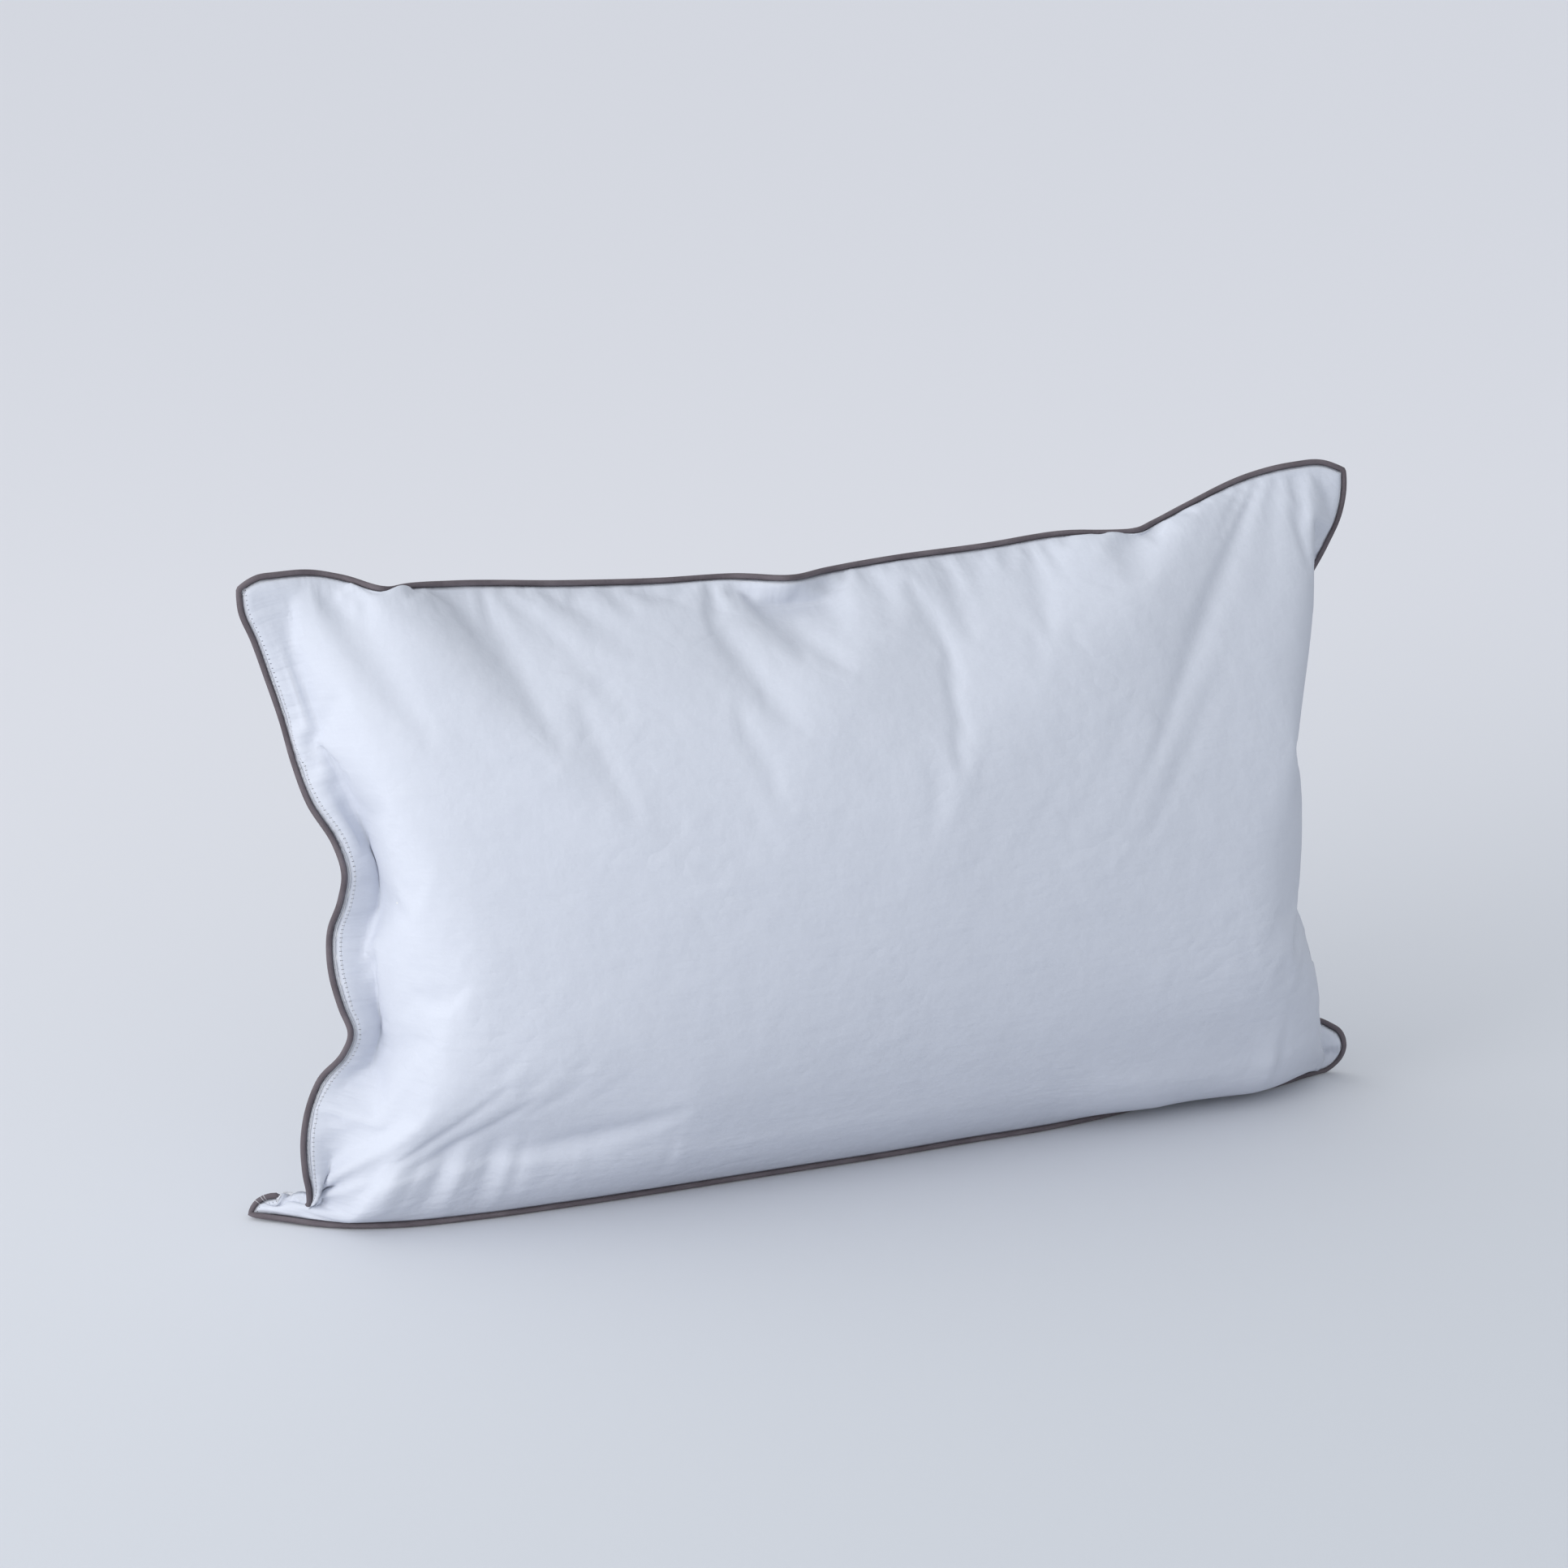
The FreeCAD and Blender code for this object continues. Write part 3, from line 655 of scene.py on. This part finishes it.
# %% [markdown]
# ## Ticking
# A down pillow's cotton is woven very densely, so the down stays in, and it is smooth and a little
# stiff.  It shows slubs along and across, small crumples, a few sharper creases, and pleats that
# run in from the seams.  The closing row's needle holes are part of the cloth too.

# %% Ticking: dense downproof cotton
HOLE_ROW = 2.6 * MM  # distance of the closing row from the end seam
HOLE_PITCH = 3.0 * MM
HOLE_EDGE = (0.2 * MM, 0.5 * MM)  # from the middle of a hole, painted dark as shade, to the cloth round it
HOLE_SHARE = (0.86, 0.97)  # part of the pitch that a hole takes, as values of a sine
HOLE_DEPTH = 0.25 * MM
SLUB_DEPTH = 0.02 * MM
CRUMPLE_DEPTH = 0.95 * MM
SHARP_DEPTH = 2.2 * MM
CREASE_DEPTH = 0.35 * MM
SIDE_PLEAT_DEPTH, END_PLEAT_DEPTH = 1.0 * MM, 1.6 * MM
PLEAT_ZONE = (4 * MM, 55 * MM)  # pleats are deepest at the seam and gone at the second distance
COTTON_SHADES = ((0.60, 0.625, 0.70, 1), (0.63, 0.655, 0.73, 1))
# painted shade: the dark colour inside each needle hole
HOLE_PAINTED_SHADE = (0.10, 0.10, 0.12, 1)


def ticking_look():
    """Cotton. Noise is taken at so many bumps per metre along and across the cloth."""
    look = Look("downproof_cotton", 0.72)
    u, v = look.cloth_map()
    to_end = CUT_LENGTH / 2 - u.magnitude()
    to_side = CUT_HEIGHT / 2 - (v - CUT_HEIGHT / 2).magnitude()
    slubs = look.noise(u * 60, v * 1400) + look.noise(u * 1400, v * 60)
    crumple = look.noise(u * 50, v * 50, 3.0) * CRUMPLE_DEPTH
    where_creased = (look.noise(u * 9, v * 9, 1.0) + 0.5).step(0.42, 0.7)
    sharp_folds = look.noise(u * 30, v * 42, 1.5).magnitude() * where_creased * SHARP_DEPTH
    creases = look.noise(u * 22, v * 140) * CREASE_DEPTH
    side_pleats = look.noise(u * 75, v * 16) * (1 - to_side.step(*PLEAT_ZONE)) * SIDE_PLEAT_DEPTH
    end_pleats = look.noise(u * 14, v * 120) * (1 - to_end.step(*PLEAT_ZONE)) * END_PLEAT_DEPTH
    from_left = (u + (CUT_LENGTH / 2 - HOLE_ROW)).magnitude()
    hole = (1 - from_left.step(*HOLE_EDGE)) * v.wave(HOLE_PITCH).step(*HOLE_SHARE)
    folds = slubs * SLUB_DEPTH + crumple + sharp_folds + creases + side_pleats + end_pleats
    mottle = look.noise(u * 30, v * 30) + look.noise(u * 900, v * 900) * 0.6
    cotton = look.blend((mottle + 0.5).step(0.0, 1.0), *COTTON_SHADES)
    # the holes are pits in the relief, and they are painted dark as shade
    return look.finish(look.blend(hole, cotton, HOLE_PAINTED_SHADE), folds - hole * HOLE_DEPTH)


# %% [markdown]
# ## Piping cloth, thread, cord and down
# The piping is a coarser dark cloth, cut on the bias so that it bends round corners, and its weave
# runs slanting along it.  Thread and cord are twisted plies, and down is a fine, uneven fluff.

# %% Piping cloth
BIAS_WEAVE = 0.9 * MM
WEAVE_DEPTH = 0.05 * MM
PUCKER_DEPTH = 0.5 * MM
PIPING_SHADES = ((0.085, 0.070, 0.080, 1), (0.155, 0.133, 0.147, 1))
# painted highlight: the weave's raised cells are mixed towards this lighter colour, so its sunk cells
# look shaded
WEAVE_HIGHLIGHT = (0.21, 0.185, 0.205, 1)


def piping_look():
    """Dark bias cloth, with painted highlight on the weave's raised cells."""
    look = Look("piping_weave", 0.85)
    s, w = look.cloth_map()
    weave = (s + w).wave(BIAS_WEAVE) * (s - w).wave(BIAS_WEAVE)
    puckers = look.noise(s * 420, w * 60) * PUCKER_DEPTH
    worn = look.noise(s * 45, w * 200, 3.0) + 0.5
    dark = look.blend(worn.step(0.3, 0.75), *PIPING_SHADES)
    # painted highlight on the raised cells of the weave, from the same pattern as its relief
    woven = look.blend((weave + 1) * 0.25, dark, WEAVE_HIGHLIGHT)
    return look.finish(woven, weave * WEAVE_DEPTH + puckers)


# %% Thread, filler cord, filling and floor
PLY_SHADE = 0.8  # painted shade: how much darker the grooves between the plies are painted
PLY_DEPTH = 0.08  # as a part of the twist's length
DOWN_SHADES = ((0.72, 0.70, 0.66, 1), (0.92, 0.91, 0.88, 1))
FLOOR_FALLOFF_SHADES = ((0.62, 0.645, 0.69, 1), (0.80, 0.80, 0.845, 1))  # painted shade near the camera and painted light at the back, for the light's falloff
FLOOR_FALLOFF_ZONE = (-1.2, 1.6)  # depths where the painted near shade ends and the painted far light starts, m


def thread_look(name, colour, twist):
    """Twisted plies of one colour, with painted shade in the grooves between them."""
    look = Look(name, 0.6)
    s, w = look.cloth_map()
    ply = (s + w).wave(twist)
    # painted shade in the grooves between the plies, from the same wave as their relief
    groove = tuple(PLY_SHADE * value for value in colour) + (1,)
    return look.finish(look.blend((ply + 1) * 0.5, groove, colour + (1,)), ply * twist * PLY_DEPTH)


def filling_look():
    """Fluff, from a fine noise."""
    look = Look("down", 0.95)
    here = look.node("ShaderNodeTexCoord", {}, output=3)
    fluff = look.node("ShaderNodeTexNoise", {}, here, None, 160.0, 4.0, 0.6)
    return look.finish(look.blend(fluff, *DOWN_SHADES), fluff * 1.5 * MM)


def floor_look():
    """Matt paper with painted light: darker near the camera and lighter to the back, as the light falls
    off.
    """
    look = Look("matt_paper", 0.9)
    here = look.node("ShaderNodeTexCoord", {}, output=3)
    grain = look.node("ShaderNodeTexNoise", {}, here, None, 300.0, 3.0, 0.5)
    # painted light: the floor's colour goes from painted shade near the camera to painted light at the
    # back
    depth = look.node("ShaderNodeSeparateXYZ", {}, here, output=1).step(*FLOOR_FALLOFF_ZONE)
    return look.finish(look.blend(depth, *FLOOR_FALLOFF_SHADES), grain * 0.05 * MM)


TICKING = ticking_look()
PIPING_CLOTH = piping_look()
SEWING_THREAD = thread_look("white_sewing_thread", (0.86, 0.87, 0.90), 0.5 * MM)
CORD_COTTON = thread_look("loose_cotton_cord", (0.80, 0.77, 0.70), 3.0 * MM)
DOWN = filling_look()
floor.data.materials.append(floor_look())
print("materials:", ", ".join(material.name for material in bpy.data.materials if material.users))

# %% [markdown]
# ## Panels with their seam allowances
# Past the seam each panel goes on for a few millimetres and turns inside, where the allowances of
# both panels lie on the piping's strip.  The cloth is then given its thickness.

# %% Front and back panel
TICKING_THICKNESS = 0.5 * MM
STRIP_THICKNESS = 0.35 * MM
BESIDE_STRIP = 1.3 * STRIP_THICKNESS  # from the middle of the seam to a panel's inner side
ALLOWANCE = 4.5 * MM
ALLOWANCE_SQUARES = 2


def panel_with_allowance(places, side):
    """Places and cloth map of a panel that goes on past the seam. Side is -1 in front, 1 behind."""
    asked = [np.arange(-ALLOWANCE_SQUARES, count + ALLOWANCE_SQUARES) for count in places.shape[:2]]
    kept = [np.clip(index, 0, count - 1) for index, count in zip(asked, places.shape[:2])]
    past = np.maximum(np.abs(asked[0] - kept[0])[:, None], np.abs(asked[1] - kept[1]))[:, :, None]
    here = np.ix_(*kept)
    turned_in = on_edge(inward, places.shape[:2])[here] * past / ALLOWANCE_SQUARES * ALLOWANCE
    beside = on_edge(upward, places.shape[:2])[here] * side * BESIDE_STRIP
    distances = [(index / (count - 1) - centre) * size for index, count, centre, size in zip(
        asked, places.shape[:2], (0.5, 0.0), (CUT_LENGTH, CUT_HEIGHT))]
    cloth_map = np.stack(np.meshgrid(*distances, indexing="ij"), axis=2)
    return places[here] + turned_in + beside, cloth_map


def make_panel(name, places, side):
    """Panel of ticking with its thickness."""
    laid, cloth_map = panel_with_allowance(places, side)
    panel = cloth_piece(name, laid[::-side], cloth_map[::-side])
    merge_doubles(panel)
    thicken(panel, TICKING_THICKNESS)
    panel.data.materials.append(TICKING)
    return panel


front_panel = make_panel("front_cotton", front, -1)
back_panel = make_panel("back_cotton", back, 1)
print("front panel:", len(front_panel.data.polygons), "faces")

# %% [markdown]
# ## Things that run along the seam
# Piping is a bias strip folded round a cord, with both its edges in the seam.  It, its cord and the
# rows of stitching are all made the same way: a section is carried along the seam.

# %% Carry a section along a line
THREAD_SIDES = 6


def resampled(values, line, count):
    """Values given at the points of a closed line, at count even distances along it."""
    closed = np.concatenate([line, line[:1]])
    distance = np.r_[0, np.cumsum(np.linalg.norm(np.diff(closed, axis=0), axis=1))]
    even = np.linspace(0, distance[-1], count + 1)
    looped = np.concatenate([values, values[:1]])
    return np.stack([np.interp(even, distance, looped[:, axis]) for axis in range(3)], axis=1), even


def run(name, line, sideways, up, section, distance, material, closed=True, capped=False):
    """Piece whose section, a list of (sideways, up) offsets for each point, follows a line.

    Closed means that the section and the line both come back to their start. Capped gives a round
    section on an open line its two ends.
    """
    offsets = np.broadcast_to(section, (len(line), *np.shape(section)[-2:]))
    places = line[:, None] + offsets[..., :1] * sideways[:, None] + offsets[..., 1:] * up[:, None]
    girth = np.r_[0, np.cumsum(np.linalg.norm(np.diff(offsets[0], axis=0), axis=1))]
    cloth_map = np.stack(np.meshgrid(distance, girth, indexing="ij"), axis=2)
    piece = cloth_piece(name, places, cloth_map)
    merge_doubles(piece, outwards=closed)
    if capped:
        edit(piece, (bpy.ops.mesh.fill_holes, {"sides": 0}),
             (bpy.ops.mesh.normals_make_consistent, {"inside": False}))
    piece.data.materials.append(material)
    bpy.ops.object.shade_smooth()
    return piece


def circle(radius, points):
    """Section of a round thread or cord."""
    turn = np.linspace(0, 2 * math.pi, points + 1)
    return np.stack([np.cos(turn), np.sin(turn)], axis=1) * radius


# %% Piping
PIPING_RADIUS = 1.8 * MM
PIPING_OVER_FLOOR = 0.3 * MM
PIPING_POINTS = 1500
WRAP_FROM, WRAP_TO, WRAP_POINTS = 6, 354, 18  # the strip goes nearly all round the cord, in degrees
FLANGE = 4 * MM
FLANGE_EDGE = 0.55 * STRIP_THICKNESS  # the strip's two edges lie this far from the seam's middle

seam_fine, seam_distance = resampled(seam, seam, PIPING_POINTS)
inward_fine = unit(resampled(inward, seam, PIPING_POINTS)[0])
upward_fine = unit(resampled(upward, seam, PIPING_POINTS)[0])
piping_line = seam_fine - inward_fine * PIPING_RADIUS
piping_line[:, 2] = np.maximum(piping_line[:, 2], PIPING_RADIUS + PIPING_OVER_FLOOR)
turn = np.radians(np.linspace(WRAP_FROM, WRAP_TO, WRAP_POINTS))
wrap = np.stack([np.cos(turn), np.sin(turn)], axis=1) * (PIPING_RADIUS - STRIP_THICKNESS)
strip = np.concatenate([[(FLANGE + PIPING_RADIUS, FLANGE_EDGE)], wrap,
                        [(FLANGE + PIPING_RADIUS, -FLANGE_EDGE)]])
piping_cover = run("piping_strip", piping_line, inward_fine, upward_fine, strip, seam_distance,
                   PIPING_CLOTH, closed=False)
thicken(piping_cover, STRIP_THICKNESS, offset=1.0)
print("piping: %.3f m long" % seam_distance[-1])

# %% Filler cord: three soft strands
STRANDS = 3
CORD_SLACK = 0.15 * MM
CORD_RADIUS = PIPING_RADIUS - STRIP_THICKNESS - CORD_SLACK
CORD_SIDES = 12
GROOVE_RADIUS = 0.86  # part of the cord's radius at the grooves between the strands
STRAND_TURN = 14 * MM
around = np.linspace(0, 2 * math.pi, CORD_SIDES + 1)
phase = around - 2 * math.pi * seam_distance[:, None] / STRAND_TURN
bumps = np.abs(np.cos(STRANDS / 2 * phase))
strand_radius = CORD_RADIUS * (GROOVE_RADIUS + (1 - GROOVE_RADIUS) * bumps)[..., None]
strands = np.stack([np.cos(around), np.sin(around)], axis=1) * strand_radius
strands[:, -1] = strands[:, 0]
piping_filler_cord = run("piping_strands", piping_line, inward_fine, upward_fine, strands,
                         seam_distance, CORD_COTTON)
print("filler cord:", round(seam_distance[-1] / STRAND_TURN), "turns")

# %% [markdown]
# ## Rows of stitching
# A lockstitch has one thread on each side of the cloth, which dip into the same needle holes.  The
# rows in the seam hold the piping's strip and then the two panels.  They hide inside the seam, and
# the row that closed the case after it was stuffed shows on the outside, along the left end.

# %% Rows in the seam
THREAD_RADIUS = 0.15 * MM
STITCH = 3.0 * MM
THREAD_POINTS = 5000
DIP = 0.12 * MM
SEAM_SLACK = 0.3 * MM  # looseness of the layers in the seam


def stitches(distance):
    """Height of a lockstitch's thread along its row: proud between the holes, low in each hole."""
    return (np.abs(np.sin(math.pi * distance / STITCH)) ** 0.5 - 0.5) * 2 * DIP


line, row_distance = resampled(seam, seam, THREAD_POINTS)
row_inward = unit(resampled(inward, seam, THREAD_POINTS)[0])
row_upward = unit(resampled(upward, seam, THREAD_POINTS)[0])
flange_side = STRIP_THICKNESS + THREAD_RADIUS + DIP
seam_side = flange_side + TICKING_THICKNESS + SEAM_SLACK
ROWS = {  # distance inside the seam, and heights of the threads
    "strip_stitches": (0.8 * MM, (flange_side, -flange_side)),
    "seam_front_stitches": (1.6 * MM, (-seam_side,)),
    "seam_back_stitches": (1.6 * MM, (seam_side,)),
}
rows = {}
for name, (inset, heights) in ROWS.items():
    made = []
    for height in heights:
        lift = height + math.copysign(1, height) * stitches(row_distance)
        path = line + row_inward * inset + row_upward * lift[:, None]
        made.append(run(name, path, row_inward, row_upward, circle(THREAD_RADIUS, THREAD_SIDES),
                        row_distance, SEWING_THREAD))
    select(*made)
    if len(made) > 1:
        bpy.ops.object.join()
    rows[name] = bpy.context.object
    rows[name].name = name
print("stitches in each row:", round(row_distance[-1] / STITCH))

# %% [markdown]
# ## Overlocked edge
# The raw edge of all the layers is wrapped in loops of thread, so that it can't fray.  At this size
# the loops close up to one ribbed band.

# %% Overlocked edge
OVERLOCK_WIDTH = 2.0 * MM
OVERLOCK_LOOP = 1.5 * MM
LOOP_RELIEF = 0.15
OVERLOCK_THICKNESS = 0.25 * MM
edge_height = STRIP_THICKNESS + TICKING_THICKNESS + SEAM_SLACK
loops = 1 + LOOP_RELIEF * np.sin(2 * math.pi * seam_distance / OVERLOCK_LOOP)[:, None, None]
bite = np.array([(-OVERLOCK_WIDTH, -1), (-1 * MM, -1), (0.3 * MM, -0.9), (0.7 * MM, 0),
                 (0.3 * MM, 0.9), (-1 * MM, 1), (-OVERLOCK_WIDTH, 1)]) * (1, edge_height)
overlock_thread = run("overlock_loops", seam_fine + inward_fine * ALLOWANCE, inward_fine, upward_fine,
                      bite * loops, seam_distance, SEWING_THREAD, closed=False)
thicken(overlock_thread, OVERLOCK_THICKNESS)
print("overlock loops:", round(seam_distance[-1] / OVERLOCK_LOOP))

# %% [markdown]
# ## Closing row
# The case is filled through its left end, and that opening is then sewn shut from outside with a
# straight row beside the piping.  One thread lies on the front and the other on the back.

# %% Closing row, on the outside of both panels
CLOSING_HALF = 0.178
CLOSING_STEP = 0.35 * MM
PROUD = 0.6 * THREAD_RADIUS
CLOSING_DIP = 1.2  # how much deeper than in the seam this thread dips


def closing_row(name, places, facing):
    """Stitches on a panel's outside, at the hole row, from near the lower to near the upper corner."""
    share = HOLE_ROW / (CUT_LENGTH / (places.shape[0] - 1))
    edge, first = places[0], places[1]
    path = edge + (first - edge) * share
    out = unit(np.cross(unit(first - edge), unit(np.gradient(edge, axis=0)))) * facing
    height = np.linspace(0, CUT_HEIGHT, places.shape[1])
    wanted = np.arange(CUT_HEIGHT / 2 - CLOSING_HALF, CUT_HEIGHT / 2 + CLOSING_HALF, CLOSING_STEP)
    path = np.stack([np.interp(wanted, height, path[:, axis]) for axis in range(3)], axis=1)
    out = unit(np.stack([np.interp(wanted, height, out[:, axis]) for axis in range(3)], axis=1))
    lift = PROUD + stitches(wanted - HOLE_PITCH / 4) * CLOSING_DIP
    sideways = unit(np.cross(unit(np.gradient(path, axis=0)), out))
    return run(name, path + out * lift[:, None], sideways, out, circle(THREAD_RADIUS, THREAD_SIDES),
               wanted, SEWING_THREAD, closed=False, capped=True)


closing_needle_thread = closing_row("closing_front_stitches", front, 1)
closing_bobbin_thread = closing_row("closing_back_stitches", back, -1)
print("closing row: %.3f m on the cloth" % (2 * CLOSING_HALF))

# %% [markdown]
# ## Hand tacks
# The two ends of the piping meet at the lower left corner.  A few hand stitches whip them together
# over the piping, and their ends were left loose.

# %% Whip the piping at the corner
TACK_PLACES = (7, 10, 13, 25, 28)  # mm along the end seam, up from the lower corner
TACK_RADIUS = 0.15 * MM
TACK_FROM, TACK_TO, TACK_POINTS = -40, 245, 26  # how far a loop goes round the piping, in degrees
TACK_SLANT = 0.9 * MM  # half of what a loop moves on along the piping
TAIL_POINTS = 10
TAIL_DROP, TAIL_TURN = -0.35, 0.3  # how a loose end bends off to the front and inward
TAIL_SHORTEST, TAIL_LONGEST = 3, 6  # mm
TAIL_OVER_FLOOR = 0.5 * MM
random = np.random.default_rng(4)
tacks = []
for index, up_the_end in enumerate(TACK_PLACES):
    here = np.searchsorted(seam_distance, seam_distance[-1] - up_the_end * MM) % PIPING_POINTS
    centre, inner, upper = piping_line[here], inward_fine[here], upward_fine[here]
    forward = np.cross(inner, upper)
    turn = np.radians(np.linspace(TACK_FROM, TACK_TO, TACK_POINTS))
    loop = centre + (PIPING_RADIUS + TACK_RADIUS) * (
        np.cos(turn)[:, None] * inner * -1 - np.sin(turn)[:, None] * upper)
    loop = loop + forward * np.linspace(-TACK_SLANT, TACK_SLANT, len(turn))[:, None]
    reach = np.linspace(0.1, 1, TAIL_POINTS)[:, None]
    swing = forward * random.uniform(-1, 1) + upper * TAIL_DROP + inner * TAIL_TURN
    length = random.uniform(TAIL_SHORTEST, TAIL_LONGEST) * MM
    path = np.concatenate([loop, loop[-1] + (inner * reach + swing * reach**2) * length])
    path[:, 2] = np.maximum(path[:, 2], TAIL_OVER_FLOOR)
    heading = unit(np.gradient(path, axis=0))
    sideways = unit(np.cross(heading, forward + 0.01 * inner))
    distance = np.r_[0, np.cumsum(np.linalg.norm(np.diff(path, axis=0), axis=1))]
    tacks.append(run(f"tack_{index}", path, sideways, np.cross(sideways, heading),
                     circle(TACK_RADIUS, THREAD_SIDES), distance, SEWING_THREAD,
                     closed=False, capped=True))
select(*tacks)
bpy.ops.object.join()
corner_tack_thread = bpy.context.object
corner_tack_thread.name = "corner_tacks"
print("hand tacks:", len(tacks))

# %% [markdown]
# ## Filling
# The filling is one soft mass with the shape of the case, a little smaller and clear of the seam.

# %% Fill
FILL_INSET = 0.05  # between the seam and the filling's edge
FILL_SQUARES = round(FILL_INSET / CUT_LENGTH * (front.shape[0] - 1))
FILL_GAP = 6 * MM
THINNEST = 0.3  # part of the space between the panels that the gap may take on each side


def fill_side(places, other):
    """A panel's middle, moved towards the other panel."""
    inner = np.s_[FILL_SQUARES:-FILL_SQUARES:2, FILL_SQUARES:-FILL_SQUARES:2]
    across = other[inner] - places[inner]
    space = np.linalg.norm(across, axis=2, keepdims=True)
    return places[inner] + across * np.minimum(FILL_GAP / space, THINNEST)


fill_front, fill_back = fill_side(front, back), fill_side(back, front)
for edge in (np.s_[[0, -1]], np.s_[:, [0, -1]]):
    fill_front[edge] = fill_back[edge] = (fill_front[edge] + fill_back[edge]) / 2
fill_map = fill_front[..., [0, 2]]
filling = cloth_piece("down_filling", fill_front, fill_map)
fill_back_piece = cloth_piece("fill_back", fill_back[::-1], fill_map[::-1])
select(filling, fill_back_piece)
bpy.ops.object.join()
merge_doubles(filling, outwards=True)
bpy.ops.object.shade_smooth()
filling.data.materials.append(DOWN)
print("filling: %.3f m long" % (fill_front[:, :, 0].max() - fill_front[:, :, 0].min()))

# %% Attach the pieces and hide the model's parts of the same names
PIECES = {
    "front_panel": ("ticking", front_panel),
    "back_panel": ("ticking", back_panel),
    "piping_cover": ("piping", piping_cover),
    "piping_filler_cord": ("filler_cord", piping_filler_cord),
    "piping_thread": ("thread", rows["strip_stitches"]),
    "seam_needle_thread": ("thread", rows["seam_front_stitches"]),
    "seam_bobbin_thread": ("thread", rows["seam_back_stitches"]),
    "overlock_thread": ("thread", overlock_thread),
    "closing_needle_thread": ("thread", closing_needle_thread),
    "closing_bobbin_thread": ("thread", closing_bobbin_thread),
    "corner_tack_thread": ("thread", corner_tack_thread),
    "filling": ("filling", filling),
}
for node, (slot, piece) in PIECES.items():
    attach(piece, "root")
    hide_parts(node)
